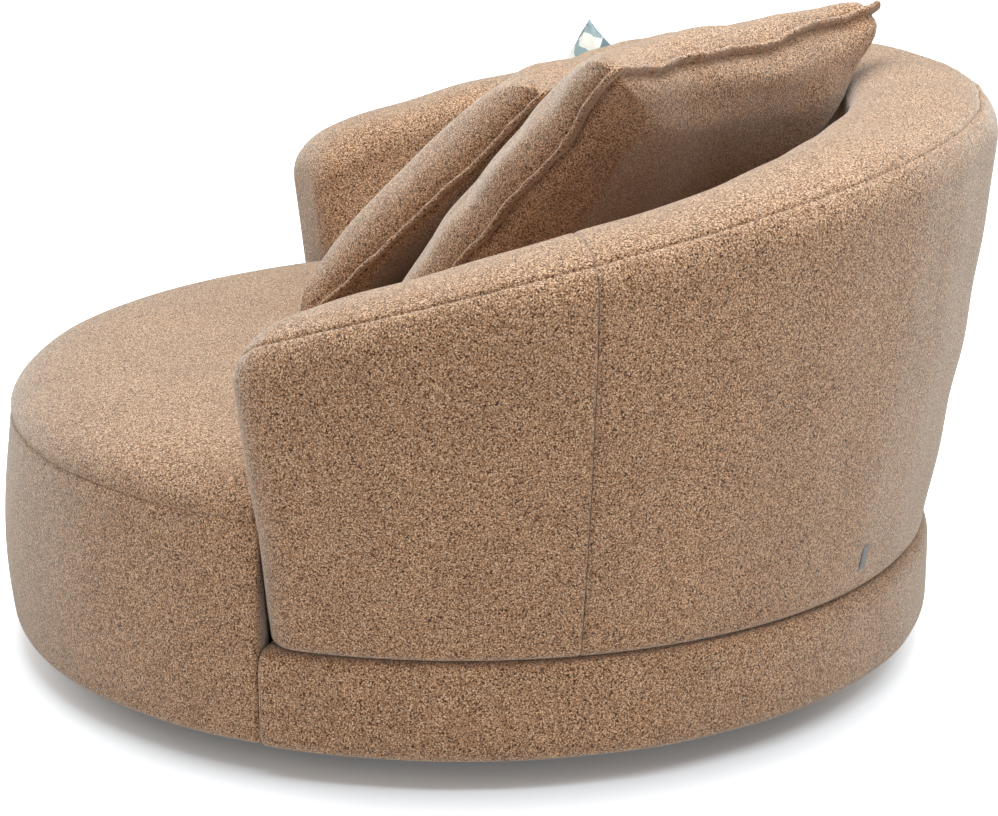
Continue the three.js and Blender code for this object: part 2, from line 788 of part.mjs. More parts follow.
function swivel() {
  const lowBase = footTopZ + plateThickness;
  const highBase = panelUnderside - plateThickness;
  const ballZ = (lowBase + highBase) / 2;
  const plateAt = (low) => {
    const shape = roundedPlate(plateHalf, plateCorner);
    const hole = new THREE.Path();
    hole.absarc(0, 0, plateHoleRadius, 0, 2 * Math.PI, true);
    shape.holes.push(hole);
    return solidFrom(extruded(shape, low, low + plateThickness, smallSteps));
  };
  const bolt = (x, y, low, high, headLow, headHigh) =>
    solidFrom(cylinderAt(x, y, plateBoltRadius, low, high, 8))
      .add(solidFrom(cylinderAt(x, y, boltHeadRadius, headLow, headHigh, 6)));
  let lower = plateAt(footTopZ).add(solidFrom(turned(raceProfile(lowBase, 1, ballZ), raceSteps)));
  let upper = plateAt(highBase).add(solidFrom(turned(raceProfile(highBase, -1, ballZ), raceSteps)));
  for (const [x, y] of plateBolts) {
    lower = lower.add(bolt(
      x, y, glideHeight + seatGap, lowBase, lowBase - seatGap, lowBase + boltHeadHeight,
    ));
    upper = upper.add(bolt(
      x, y, highBase, panelTop + boltHeadHeight,
      panelTop + seatGap, panelTop + seatGap + boltHeadHeight,
    ));
  }
  add('swivel_lower_plate', lower, steel);
  add('swivel_upper_plate', upper, steel);
  let cage = solidFrom(ring(
    raceRadius - cageWidth / 2, raceRadius + cageWidth / 2,
    ballZ - cageThickness / 2, ballZ + cageThickness / 2, raceSteps,
  ));
  for (let i = 0; i < ballCount; i += 1) {
    const [x, y] = onCircle(raceRadius, (2 * Math.PI * i) / ballCount);
    const ball = new THREE.IcosahedronGeometry(ballRadius);
    cage = cage.add(solidFrom(move(ball, x, y, ballZ)));
  }
  add('swivel_ball_cage', cage, steel);
}

function foot() {
  let disc = solidFrom(turned([
    [0, glideHeight],
    [footDiscRadius, glideHeight],
    [footDiscRadius, footTopZ - plateThickness],
    [footDiscRadius - plateThickness, footTopZ],
    [0, footTopZ],
  ]));
  for (const [x, y] of plateBolts) {
    disc = disc.subtract(solidFrom(cylinderAt(
      x, y, plateBoltHole, glideHeight - cutOverrun, footTopZ + cutOverrun, 8,
    )));
  }
  add('foot_disc', disc, plywood);
  const glide = (x, y) => move(turned([
    [0, 0],
    [glideRadius - plateThickness, 0],
    [glideRadius, plateThickness],
    [glideRadius, glideHeight],
    [0, glideHeight],
  ], smallSteps), x, y, 0);
  add('glide_centre', glide(0, 0), blackPlastic);
  for (let i = 0; i < glideCount; i += 1) {
    const [x, y] = onCircle(glideCircle, (2 * Math.PI * i) / glideCount);
    add(`glide_${i + 1}`, glide(x, y), blackPlastic);
  }
}

// A stuffed cushion: two crowned faces that meet in a flat sewn flange, with drawn-in sides
function pillow({ size, front, back, softness, slantShare }, steps, inset, flange) {
  const half = size / 2 - flangeWidth - inset;
  const edge = flangeHalf - (inset > 0 ? Math.min(inset, flangeHalf / 2) : 0);
  const crownOf = (side) => (side > 0 ? front : back) - inset - edge;
  const inner = spread(-1, 1, steps).map((t) => Math.sin((t * Math.PI) / 2));
  const shares = flange > 0 ? [-1, ...inner, 1] : inner;
  const last = shares.length - 1;
  const lip = (i) => (flange > 0 && (i === 0 || i === last) ? Math.sign(i - 0.5) * flange : 0);
  const place = (a, b, lipA) => half * a * (1 - drawInShare * (1 - b * b) * a * a) + lipA;
  const positions = [];
  for (const side of [1, -1]) {
    shares.forEach((a, i) => {
      shares.forEach((b, j) => {
        const rise = Math.pow(Math.max(0, (1 - a * a) * (1 - b * b)), softness);
        const slant = 1 + side * slantShare * a;
        const height = side * (edge + crownOf(side) * slant * rise);
        positions.push(place(a, b, lip(i)), place(b, a, lip(j)), height);
      });
    });
  }
  const count = shares.length;
  const at = (side, i, j) => side * count * count + i * count + j;
  const index = [];
  for (let i = 0; i < last; i += 1) {
    for (let j = 0; j < last; j += 1) {
      index.push(at(0, i, j), at(0, i + 1, j), at(0, i, j + 1));
      index.push(at(0, i, j + 1), at(0, i + 1, j), at(0, i + 1, j + 1));
      index.push(at(1, i, j), at(1, i, j + 1), at(1, i + 1, j));
      index.push(at(1, i, j + 1), at(1, i + 1, j + 1), at(1, i + 1, j));
    }
  }
  for (let k = 0; k < last; k += 1) {
    for (const [p, q] of [
      [[k, 0], [k + 1, 0]],
      [[k + 1, last], [k, last]],
      [[0, k + 1], [0, k]],
      [[last, k], [last, k + 1]],
    ]) {
      index.push(at(0, ...p), at(1, ...p), at(0, ...q));
      index.push(at(0, ...q), at(1, ...p), at(1, ...q));
    }
  }
  const geometry = new THREE.BufferGeometry();
  geometry.setAttribute('position', new THREE.Float32BufferAttribute(positions, 3));
  geometry.setIndex(index);
  return outward(geometry);
}

// Height of the seat's faceted top at a radius
function seatFacetTopAt(r) {
  const edge = seatSideRadiusAt(seatSeamHeight);
  const radii = [edge, ...domeShares.map((share) => share * edge), 0];
  const i = Math.max(1, radii.findIndex((radius) => radius <= r));
  return THREE.MathUtils.mapLinear(
    r, radii[i - 1], radii[i], seatTopAt(radii[i - 1]), seatTopAt(radii[i]),
  );
}

// A cushion let down until its lowest point is a small lift above the seat
function restOnSeat(holder, geometry, lift) {
  holder.updateMatrixWorld(true);
  const point = new THREE.Vector3();
  const spots = geometry.attributes.position;
  let least = Infinity;
  for (let i = 0; i < spots.count; i += 1) {
    point.fromBufferAttribute(spots, i).applyMatrix4(holder.matrixWorld);
    least = Math.min(least, point.z - seatFacetTopAt(Math.hypot(point.x, point.y)));
  }
  holder.position.z += lift - least;
}

function addCushion(name, cushion, steps, coverLook) {
  const { size, x, y, turn, lean, roll } = cushion;
  const back = new THREE.Vector3(Math.sin(turn * degrees), Math.cos(turn * degrees), 0);
  const up = new THREE.Vector3(0, 0, Math.cos(lean * degrees))
    .addScaledVector(back, Math.sin(lean * degrees));
  const front = new THREE.Vector3(0, 0, Math.sin(lean * degrees))
    .addScaledVector(back, -Math.cos(lean * degrees));
  const across = new THREE.Vector3().crossVectors(up, front);
  const holder = new THREE.Group();
  holder.quaternion.setFromRotationMatrix(new THREE.Matrix4().makeBasis(across, up, front));
  holder.rotateZ(roll * degrees);
  holder.position.set(x, y, seatCrownHeight);
  group.add(holder);

  const outer = solidFrom(pillow(cushion, steps, 0, flangeWidth));
  const hollow = solidFrom(pillow(cushion, steps, cushionCloth, 0));
  const slitWidth = zipShare * size;
  const edge = -size / 2;
  const slit = (width, half) => solidFrom(boxAt(
    [0, edge, 0], [width, 2 * (flangeWidth + drawInShare * size + cushionCloth * 4), 2 * half],
  ));
  const cover = outer.subtract(hollow).subtract(slit(slitWidth, zipSlitHalf));
  const coverMesh = add(`${name}_cover`, cover, coverLook, holder);
  add(`${name}_zip`, outer.subtract(hollow).intersect(
    slit(slitWidth - 2 * seamGap, zipHalf),
  ), zipPlastic, holder);
  add(`${name}_insert`, pillow(cushion, steps, cushionCloth + layerGap, 0), fibre, holder);
  restOnSeat(holder, coverMesh.geometry, cushionLift);
}

// The tab lies on the flat facet of the back panel that its angle falls on
function sewnTab() {
  const next = wallAngles.findIndex((angle) => angle > tabAngle);
  const middle = (wallAngles[next - 1] + wallAngles[next]) / 2;
  const half = (wallAngles[next] - wallAngles[next - 1]) / 2;
  const low = shellFootZ + footRound;
  const high = low + (crownHeightAt(middle) - crownRise - low) / faceSteps;
  const faceRadius = Math.cos(half) * THREE.MathUtils.mapLinear(
    tabHeight, low, high, outerRadiusAt(low), outerRadiusAt(high),
  );
  const tilt = Math.atan(Math.cos(half) * (outerRadiusAt(high) - outerRadiusAt(low)) / (high - low));
  const away = faceRadius + (seatGap + tabThickness / 2) / Math.cos(tilt);
  const across = faceRadius * Math.tan(tabAngle - middle);
  const holder = new THREE.Group();
  holder.rotation.set(-tilt, 0, -middle, 'ZYX');
  holder.position.set(
    away * Math.sin(middle) + across * Math.cos(middle),
    away * Math.cos(middle) - across * Math.sin(middle),
    tabHeight,
  );
  group.add(holder);
  add('sewn_tab', boxAt([0, 0, 0], [tabWidth, tabThickness, tabLength]), greyTape, holder);
}

foot();
swivel();
baseFrame();
dustCover();
suspension();
seatUpholstery();
plinthUpholstery();
shellFrame();
shellFoam();
shellCovers();
sewnTab();
addCushion('near_cushion', nearCushion, cushionSteps, boucle);
addCushion('far_cushion', farCushion, cushionSteps, boucle);
addCushion('scatter_cushion', scatterCushion, scatterSteps, scatterCloth);

export default group;
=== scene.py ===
"""A round swivel love seat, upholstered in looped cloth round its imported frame.

Metres, +Z up. The open front faces -Y and the origin is on the floor, on the swivel's axis.
Angles round the chair are measured from the middle of the back, towards +X.
"""

import json

import bpy
import numpy as np
from mathutils import Matrix, Vector


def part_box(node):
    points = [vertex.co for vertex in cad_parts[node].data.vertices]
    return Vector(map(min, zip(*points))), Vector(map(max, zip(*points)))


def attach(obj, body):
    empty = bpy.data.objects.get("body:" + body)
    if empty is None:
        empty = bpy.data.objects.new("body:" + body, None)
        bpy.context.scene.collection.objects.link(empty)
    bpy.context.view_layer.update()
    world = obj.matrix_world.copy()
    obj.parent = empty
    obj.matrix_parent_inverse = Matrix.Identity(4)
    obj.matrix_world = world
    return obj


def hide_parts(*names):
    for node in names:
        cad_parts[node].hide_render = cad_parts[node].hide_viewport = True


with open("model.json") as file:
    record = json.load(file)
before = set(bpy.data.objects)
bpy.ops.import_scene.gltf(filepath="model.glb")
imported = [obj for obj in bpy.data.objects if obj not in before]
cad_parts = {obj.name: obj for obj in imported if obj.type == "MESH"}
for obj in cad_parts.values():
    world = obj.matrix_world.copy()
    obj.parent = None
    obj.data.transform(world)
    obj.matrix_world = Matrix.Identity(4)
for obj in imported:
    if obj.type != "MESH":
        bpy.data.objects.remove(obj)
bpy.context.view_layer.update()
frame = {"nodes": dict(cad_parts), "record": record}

bl_info = {
    "name": "Cuddle Chair",
    "version": (1, 0, 0),
    "blender": (4, 5, 0),
    "location": "View3D > Sidebar > Cuddle Chair",
    "description": "Builds a round swivel love seat with loose cushions round its frame",
    "category": "Add Mesh",
}

DEG = np.pi / 180.0
LIFT_AXIS = np.array([0.4, 0.5, 0.7681])  # way that a large cushion is lifted off
LIFT_RANGE = 0.2
CROWN_SEAM_TURN = 40 * DEG  # place of the crown seam, as a turn over the crown
CROWN_SEAM = (0.0020, 0.0028, 0.0006)  # depth, width and welt, as for each seam
SEAT_TOP_SEAM = (0.0015, 0.0040, 0.0004)
SEAT_SIDE_SEAM = (0.0017, 0.0040, 0.0004)
LINING_HOLLOW = 0.0035  # depth of the hollow in the lining, near the back's middle
LINING_SWELL = 0.0220  # depth of the lining's swell beside the near cushion
STITCH_STEP = 0.0085
STITCH_HALF = 0.0029  # half the length of one stitch
THREAD_RADIUS = 0.00055
HEEL_COLUMNS = 6  # columns of a wall section below its outer face
PANEL_EDGE_ROUND = 0.008
BAND_EDGE_ROUND = 0.010  # rounding at the sewn ends of the drum's side and the plinth
SEAM_SLIT = 0.0003  # half of the slit between the seat's top and its side
SIDE_INNER = 0.6330  # radius of the flat inner face of the drum's padded side
DRAW_IN = 0.045  # share by which a cushion's sides are drawn in between its corners
SEWN_HALF = 0.0026  # half thickness of a cushion where its faces are sewn together


# ---------------------------------------------------------------- settings

def length_setting(name, description, default):
    """A length in metres for the sidebar."""
    return bpy.props.FloatProperty(name=name, description=description, default=default,
                                   unit="LENGTH")


def angle_setting(name, description, default):
    """An angle in radians for the sidebar."""
    return bpy.props.FloatProperty(name=name, description=description, default=default,
                                   subtype="ANGLE")


def number_setting(name, description, default):
    """A plain number for the sidebar."""
    return bpy.props.FloatProperty(name=name, description=description, default=default)


def colour_setting(name, description, default):
    """A linear colour for the sidebar."""
    return bpy.props.FloatVectorProperty(name=name, description=description, default=default,
                                         size=3, subtype="COLOR", min=0.0, max=1.0)


class WallSizes(bpy.types.PropertyGroup):
    """Sizes of the wrap-around back and arms."""

    foot_height: length_setting("Foot height", "Height of the wall's foot", 0.1703)
    foot_radius: length_setting("Foot radius", "Radius of the wall at the plinth", 0.663)
    flare: number_setting("Flare", "Outward lean of the outer face, as a slope", 0.134)
    face_bulge: length_setting("Outer bulge", "Swell of the outer face", 0.005)
    face_swell: length_setting("Face swell", "Swell of the padding under the crown seam", 0.0065)
    arm_lean: length_setting("Arm lean", "How far the padded arm ends lean forwards at the top",
                             0.0145)
    crown_settle: length_setting("Crown settling", "How far the crown of the left arm has settled",
                                 0.007)
    lining_bulge: length_setting("Inner bulge", "Swell of the inner face", 0.009)
    arm_thickness: length_setting("Arm thickness", "Thickness at the arm ends", 0.150)
    back_thickness: length_setting("Back thickness", "Thickness at the top of the back", 0.200)
    back_height: length_setting("Back height", "Top of the back above the floor", 0.804)
    crown_drop: length_setting("Crown drop", "Fall of the top edge from back to arm end", 0.217)
    crown_drop_power: number_setting("Crown drop power", "How late the top edge falls", 2.2)
    crown_rise: length_setting("Crown rise", "Height of the rounded top", 0.060)
    crown_power: number_setting("Crown squareness", "Squareness of the rounded top", 2.3)
    half_angle: angle_setting("Arm end angle", "Angle from the middle of the back to an arm end",
                              113.5 * DEG)
    seam_angle: angle_setting("Panel seam angle", "Angle of the upright seams", 77.5 * DEG)
    end_round: length_setting("End rounding", "Rounding of the arm ends", 0.048)
    foot_round: length_setting("Foot rounding", "Rounding of the wall's foot", 0.018)
    tab_angle: angle_setting("Tab angle", "Angle of the sewn tab round the back", 38.3 * DEG)
    tab_height: length_setting("Tab height", "Height of the tab's middle", 0.222)
    tab_width: length_setting("Tab width", "Width of the sewn tab", 0.015)
    tab_length: length_setting("Tab length", "Length of the sewn tab", 0.036)


class SeatSizes(bpy.types.PropertyGroup):
    """Sizes of the seat drum and the plinth."""

    bottom: length_setting("Hover gap", "Height of the body above the floor", 0.035)
    radius: length_setting("Seat radius", "Widest radius of the drum", 0.672)
    widest: length_setting("Widest height", "Height where the drum is widest", 0.165)
    side_bulge: length_setting("Side bulge", "Swell of the drum's side", 0.016)
    under_tuck: length_setting("Under tuck", "Rounding at the bottom of the drum", 0.016)
    seam_height: length_setting("Seat seam height", "Height of the seam round the seat", 0.337)
    crown_height: length_setting("Seat height", "Top of the seat", 0.414)
    dome_power: number_setting("Seat squareness", "How flat the seat's top is", 8.0)
    plinth_top: length_setting("Plinth top", "Top of the plinth", 0.170)
    plinth_radius: length_setting("Plinth radius", "Widest radius of the plinth", 0.674)
    plinth_depth: length_setting("Plinth padding", "Depth of the plinth's rounded padding", 0.040)
    plinth_power: number_setting("Plinth squareness", "Squareness of the plinth's section", 4.6)


class CushionSizes(bpy.types.PropertyGroup):
    """Size and place of one loose cushion."""

    size: length_setting("Size", "Edge length with its flange", 0.62)
    front: length_setting("Front fullness", "Height of the front face's crown", 0.09)
    back: length_setting("Back fullness", "Height of the back face's crown", 0.06)
    softness: number_setting("Softness", "How gently the faces rise from the sewn edge", 0.2)
    slant: number_setting("Slant", "Share by which the filling leans across the cushion", 0.0)
    turn: angle_setting("Turn", "Direction of the cushion's back", 0.0)
    lean: angle_setting("Lean", "Lean from upright", 0.0)
    roll: angle_setting("Roll", "Turn in the cushion's own plane", 0.0)
    side_fill: length_setting("Side fill", "Extra fullness of the back face towards one side", 0.0)
    ear: length_setting("Ear", "How far the two upper corners are drawn out", 0.0)
    flange: length_setting("Flange", "Width of the flat sewn edge", 0.014)
    edge_thickness: length_setting("Edge thickness", "Half thickness of the sewn edge", 0.0046)


class ClothLooks(bpy.types.PropertyGroup):
    """Colours and scale of the cloths."""

    pale: colour_setting("Pale loops", "Colour of the palest yarn", (0.900, 0.590, 0.372))
    body: colour_setting("Body loops", "Main colour of the yarn", (0.430, 0.213, 0.101))
    # The dark colour is painted shade: it is mixed in where the loops' height is low, in the
    # hollows between them.
    dark: colour_setting("Painted hollow shade", "Colour between the loops", (0.050, 0.018, 0.007))
    loop_size: length_setting("Loop size", "Width of one loop of yarn", 0.0020)


SETTINGS = (WallSizes, SeatSizes, CushionSizes, ClothLooks)


# ---------------------------------------------------------------- mesh making

def mesh_from_grid(name, points, close_u=False, close_v=False, cap_u=False):
    """A surface through a grid of points (rows, columns, 3), as quads between neighbours.
    close_u joins the last row to the first, close_v the last column to the first, and cap_u
    shuts the first and the last row with a fan to the middle of each."""
    rows, cols = points.shape[:2]
    verts = points.reshape(-1, 3)
    i = np.arange(rows if close_u else rows - 1)[:, None]
    j = np.arange(cols if close_v else cols - 1)[None, :]
    a = i * cols + j
    b = i * cols + (j + 1) % cols
    c = ((i + 1) % rows) * cols + (j + 1) % cols
    d = ((i + 1) % rows) * cols + j
    quads = np.stack([a, b, c, d], axis=-1).reshape(-1, 4)
    tris = np.zeros((0, 3), int)
    if cap_u:
        first, last = len(verts), len(verts) + 1
        verts = np.vstack([verts, points[0].mean(axis=0), points[-1].mean(axis=0)])
        k = np.arange(cols if close_v else cols - 1)
        n = (k + 1) % cols
        head = np.stack([np.full_like(k, first), n, k], axis=-1)
        base = (rows - 1) * cols
        tail = np.stack([np.full_like(k, last), base + k, base + n], axis=-1)
        tris = np.vstack([head, tail])
    return mesh_from_faces(name, verts, quads, tris)


def mesh_from_faces(name, verts, quads, tris=None):
    """A mesh object from arrays of corners, four-sided and three-sided faces."""
    tris = np.zeros((0, 3), int) if tris is None else tris
    mesh = bpy.data.meshes.new(name)
    mesh.vertices.add(len(verts))
    mesh.vertices.foreach_set("co", np.ascontiguousarray(verts, np.float32).ravel())
    corners = np.concatenate([quads.ravel(), tris.ravel()]).astype(np.int32)
    mesh.loops.add(len(corners))
    mesh.loops.foreach_set("vertex_index", corners)
    totals = np.concatenate([np.full(len(quads), 4), np.full(len(tris), 3)]).astype(np.int32)
    starts = np.concatenate([[0], np.cumsum(totals)[:-1]]).astype(np.int32)
    mesh.polygons.add(len(totals))
    mesh.polygons.foreach_set("loop_start", starts)
    mesh.update(calc_edges=True)
    mesh.validate()
    mesh.polygons.foreach_set("use_smooth", np.ones(len(mesh.polygons), bool))
    face_outwards(mesh)
    obj = bpy.data.objects.new(name, mesh)
    bpy.context.scene.collection.objects.link(obj)
    return obj


def signed_volume(mesh):
    """Sum over all triangles of the volume they span with the origin."""
    mesh.calc_loop_triangles()
    index = np.empty(len(mesh.loop_triangles) * 3, np.int32)
    mesh.loop_triangles.foreach_get("vertices", index)
    co = vertex_array(mesh)
    p, q, r = (co[index.reshape(-1, 3)[:, k]] for k in range(3))
    return float(np.einsum("ij,ij->i", p, np.cross(q, r)).sum() / 6.0)


def face_outwards(mesh):
    """Turns every face round where the mesh as a whole points inwards."""
    if signed_volume(mesh) < 0.0:
        mesh.flip_normals()
        mesh.update()


def vertex_array(mesh):
    """Places of all vertices as an array."""
    co = np.empty(len(mesh.vertices) * 3, np.float32)
    mesh.vertices.foreach_get("co", co)
    return co.reshape(-1, 3).astype(float)


def normal_array(mesh):
    """Normals of all vertices as an array."""
    no = np.empty(len(mesh.vertices) * 3, np.float32)
    mesh.vertices.foreach_get("normal", no)
    return no.reshape(-1, 3).astype(float)


def set_vertices(mesh, co):
    """Puts an array of places back into the mesh."""
    mesh.vertices.foreach_set("co", np.ascontiguousarray(co, np.float32).ravel())
    mesh.update()


def smoothed(mesh, co, rounds, hold):
    """Places evened out along the mesh: each round moves a point halfway to the mean of its
    neighbours, as far as its hold allows, where nought leaves it in place."""
    edges = np.empty(len(mesh.edges) * 2, np.int32)
    mesh.edges.foreach_get("vertices", edges)
    a, b = edges.reshape(-1, 2).T
    count = np.bincount(np.concatenate([a, b]), minlength=len(co))[:, None]
    for _ in range(rounds):
        total = np.stack([np.bincount(a, co[b, k], len(co)) + np.bincount(b, co[a, k], len(co))
                          for k in range(3)], axis=-1)
        co = co + 0.5 * hold[:, None] * (total / count - co)
    return co


def ripples(points, wavelength, amplitude, seed):
    """Smooth unevenness at each point: a sum of nine sine waves in seeded random directions,
    with lengths from one half to twice the given one."""
    rng = np.random.default_rng(seed)
    total = np.zeros(points.shape[:-1])
    for _ in range(9):
        direction = rng.normal(size=3)
        direction /= np.linalg.norm(direction)
        length = wavelength * 2.0 ** rng.uniform(-1.0, 1.0)
        total += np.sin(points @ direction * (2 * np.pi / length) + rng.uniform(0, 2 * np.pi))
    return amplitude * total / 3.0


def fine_steps(low, high, step, marks, width, fine):
    """Rising values from low to high: one every step, and every fine within width of a mark."""
    values = [np.arange(low, high, step), [high]]
    for mark in marks:
        near = np.arange(mark - width, mark + width + fine / 2, fine)
        values.append(near[(near > low) & (near < high)])
    merged = np.sort(np.concatenate(values))
    keep = np.concatenate([[True], np.diff(merged) > fine * 0.4])
    keep[-1] = True
    return merged[keep]


def bell(value, middle, width):
    """One at the middle, and falling on both sides as exp of minus the squared distance in
    widths."""
    return np.exp(-((value - middle) / width) ** 2)


def groove(distance, depth, width, welt):
    """Depth of a sewn seam at a distance from it: a narrow bell-shaped groove between two
    low rounded welts. Positive goes into the padding."""
    return (depth * bell(distance, 0.0, width)
            - welt * bell(np.abs(distance), 3.2 * width, 2.2 * width))


def clamp(values, low=0.0, high=1.0):
    """Values kept between two limits."""
    return np.minimum(np.maximum(values, low), high)


def ramp(value, start, over):
    """Nought up to the start, then straight up to one over the given way."""
    return clamp((value - start) / over)


def round_the_chair(radius, turned, height):
    """Points from their distance to the swivel's axis, their angle round it and their
    height: x is radius times sine and y is radius times cosine."""
    return np.stack([radius * np.sin(turned), radius * np.cos(turned), height], axis=-1)


def to_length(vectors):
    """Vectors, one in each row, scaled to a length of one."""
    return vectors / np.linalg.norm(vectors, axis=1, keepdims=True)


# ---------------------------------------------------------------- the wall's formulas

def rise_share(s, seat, z):
    """Share of the way up from the plinth to the top of the back."""
    return ramp(z, seat.plinth_top, s.back_height - seat.plinth_top)


def outer_radius(s, seat, z):
    """Straight flare from the foot, plus half a sine wave of bulge."""
    return (s.foot_radius + s.flare * (z - seat.plinth_top)
            + s.face_bulge * np.sin(np.pi * rise_share(s, seat, z)))


def crown_height(s, angle):
    """Back height less a drop that grows with a power of the angle."""
    return s.back_height - s.crown_drop * (np.abs(angle) / s.half_angle) ** s.crown_drop_power


def wall_thickness(s, seat, angle, z):
    """Arm thickness, plus more towards the back and the top, plus both bulges."""
    towards_back = 0.5 * (1.0 + np.cos(np.pi * angle / s.half_angle))
    rise = rise_share(s, seat, z)
    return (s.arm_thickness + (s.back_thickness - s.arm_thickness) * towards_back * rise
            + (s.face_bulge + s.lining_bulge) * np.sin(np.pi * rise))


def signed_power(value, power):
    """Power of the size of a value, with the value's own sign."""
    return np.sign(value) * np.abs(value) ** power


def wall_section(s, seat, angle, inset):
    """Radius and height round one section for each angle, shrunk by inset: up the outer
    face, over a squared-off half ellipse, down the inner face, and back along the foot.
    Also gives each column's distance from the crown seam, and the seam's column."""
    angle, inset = angle[:, None], inset[:, None]
    shoulder = crown_height(s, angle) - s.crown_rise
    outer = outer_radius(s, seat, shoulder) - inset
    inner = outer_radius(s, seat, shoulder) - wall_thickness(s, seat, angle, shoulder) + inset
    middle, half = (outer + inner) / 2, (outer - inner) / 2
    low = s.foot_height + s.foot_round
    up = np.linspace(0.0, 1.0, 74)[None, :-1]
    z_out = low + (shoulder - low) * up
    r_out = outer_radius(s, seat, z_out) - inset
    turn = crown_columns()[None, :]
    r_top = middle + half * signed_power(np.cos(turn), 2 / s.crown_power)
    z_top = shoulder + (s.crown_rise - inset) * np.abs(np.sin(turn)) ** (2 / s.crown_power)
    z_in = low + (shoulder - low) * up[:, ::-1]
    r_in = outer_radius(s, seat, z_in) - wall_thickness(s, seat, angle, z_in) + inset
    heel = np.linspace(0.0, np.pi / 2, HEEL_COLUMNS + 1)[None, :-1]
    base = outer_radius(s, seat, low) - inset
    r_heel = base - s.foot_round * (1 - np.sin(heel)) + 0 * angle
    z_heel = low - s.foot_round * np.cos(heel) + 0 * angle
    r_foot = r_in[:, -1:] + 0 * angle
    z_foot = s.foot_height + 0 * angle
    radius = np.hstack([r_heel, r_out, r_top, r_in, r_foot])
    height = np.hstack([z_heel, z_out, z_top, z_in, z_foot])
    over = int(np.argmin(np.abs(turn[0] - CROWN_SEAM_TURN)))
    seam_column = r_heel.shape[1] + z_out.shape[1] + over
    step = np.hypot(np.diff(radius, axis=1), np.diff(height, axis=1))
    along = np.hstack([np.zeros((len(radius), 1)), np.cumsum(step, axis=1)])
    return radius, height, along - along[:, seam_column:seam_column + 1], seam_column


def crown_columns():
    """Turning angles over the crown, close together at the seam near its outer edge."""
    return fine_steps(0.0, np.pi, 0.055, [CROWN_SEAM_TURN], 0.20, 0.018)


def middle_radius(s):
    """Radius halfway through the wall at its foot."""
    return s.foot_radius - s.arm_thickness / 2


def wall_points(s, seat, angle, inset):
    """Points of the wall: each section's radius and height turned to its angle. The arm ends
    lean forwards by the square of the share past the upright seam. Along the section's own
    outward direction come the crown seam's groove, puckers beside it, a slight unevenness, a
    hollow in the lining and half a sine wave of swell under the seam. Then the lining swells
    inwards beside the near cushion, and the left arm's crown settles, both bell-shaped."""
    radius, height, from_seam, _ = wall_section(s, seat, angle, inset)
    turned = angle[:, None] + 0 * radius
    past_seam = ramp(np.abs(turned), s.seam_angle, s.half_angle - s.seam_angle)
    lean_from, lean_over = 0.33, 0.19  # heights over which the arm ends come to lean
    turned = turned + (s.arm_lean / s.foot_radius * np.sign(turned) * past_seam ** 2
                       * ramp(height, lean_from, lean_over))
    points = round_the_chair(radius, turned, height)
    centre_r = (radius.min(axis=1, keepdims=True) + radius.max(axis=1, keepdims=True)) / 2
    centre_z = (crown_height(s, angle) - s.crown_rise)[:, None]
    out_r, out_z = radius - centre_r, np.maximum(height - centre_z, 0.0)
    size = np.hypot(out_r, out_z) + 1e-9
    out_r, out_z = out_r / size, out_z / size
    push = -groove(from_seam, *CROWN_SEAM)
    off_foot = ramp(height, s.foot_height, 0.05)
    pucker = ripples(points, 0.030, 0.0010, 11) * bell(from_seam, 0.0, 0.020)
    uneven = ripples(points, 0.24, 0.0020, 5)
    push = push + uneven * off_foot + pucker * off_foot
    degrees = np.degrees(turned)
    hollow = LINING_HOLLOW * bell(from_seam, 0.150, 0.026) * bell(degrees, 6.0, 34.0)
    push = push - hollow
    swell = lining_swell(degrees) * bell(from_seam, 0.190, 0.055)
    way_down = clamp(from_seam / from_seam[:, HEEL_COLUMNS:HEEL_COLUMNS + 1])
    push = push + s.face_swell * np.sin(np.pi * way_down ** 0.75)
    points[..., 0] += (push * out_r - swell) * np.sin(turned)
    points[..., 1] += (push * out_r - swell) * np.cos(turned)
    points[..., 2] += push * out_z
    settled = s.crown_settle * bell(degrees, -85.0, 26.0)
    settle_from, settle_over = 0.45, 0.12  # heights over which the left arm comes to settle
    points[..., 2] -= settled * ramp(height, settle_from, settle_over)
    return points


def lining_swell(degrees):
    """Bell-shaped swell of the lining under the crown beside the near cushion."""
    return LINING_SWELL * bell(degrees, 34.0, 24.0)


def edge_inset(distance, radius):
    """Inset near a panel's sewn edge: a quarter circle of the given radius, half as deep."""
    t = clamp(1.0 - distance / radius)
    return 0.5 * radius * (1.0 - np.sqrt(1.0 - t ** 2))


# ---------------------------------------------------------------- materials

def math_node(tree, kind, a, b=None, clamped=False):
    """A Math node on sockets or plain numbers, giving its output."""
    node = tree.nodes.new("ShaderNodeMath")
    node.operation = kind
    node.use_clamp = clamped
    for socket, value in zip(node.inputs, (a, b)):
        if value is None:
            continue
        if isinstance(value, (int, float)):
            socket.default_value = value
        else:
            tree.links.new(value, socket)
    return node.outputs[0]


def group_with(name, inputs, outputs):
    """A new shader node group with named sockets, and its input and output nodes."""
    group = bpy.data.node_groups.new(name, "ShaderNodeTree")
    for label, kind, default in inputs:
        socket = group.interface.new_socket(name=label, in_out="INPUT", socket_type=kind)
        if default is not None:
            socket.default_value = default
    for label, kind in outputs:
        group.interface.new_socket(name=label, in_out="OUTPUT", socket_type=kind)
    return group, group.nodes.new("NodeGroupInput"), group.nodes.new("NodeGroupOutput")


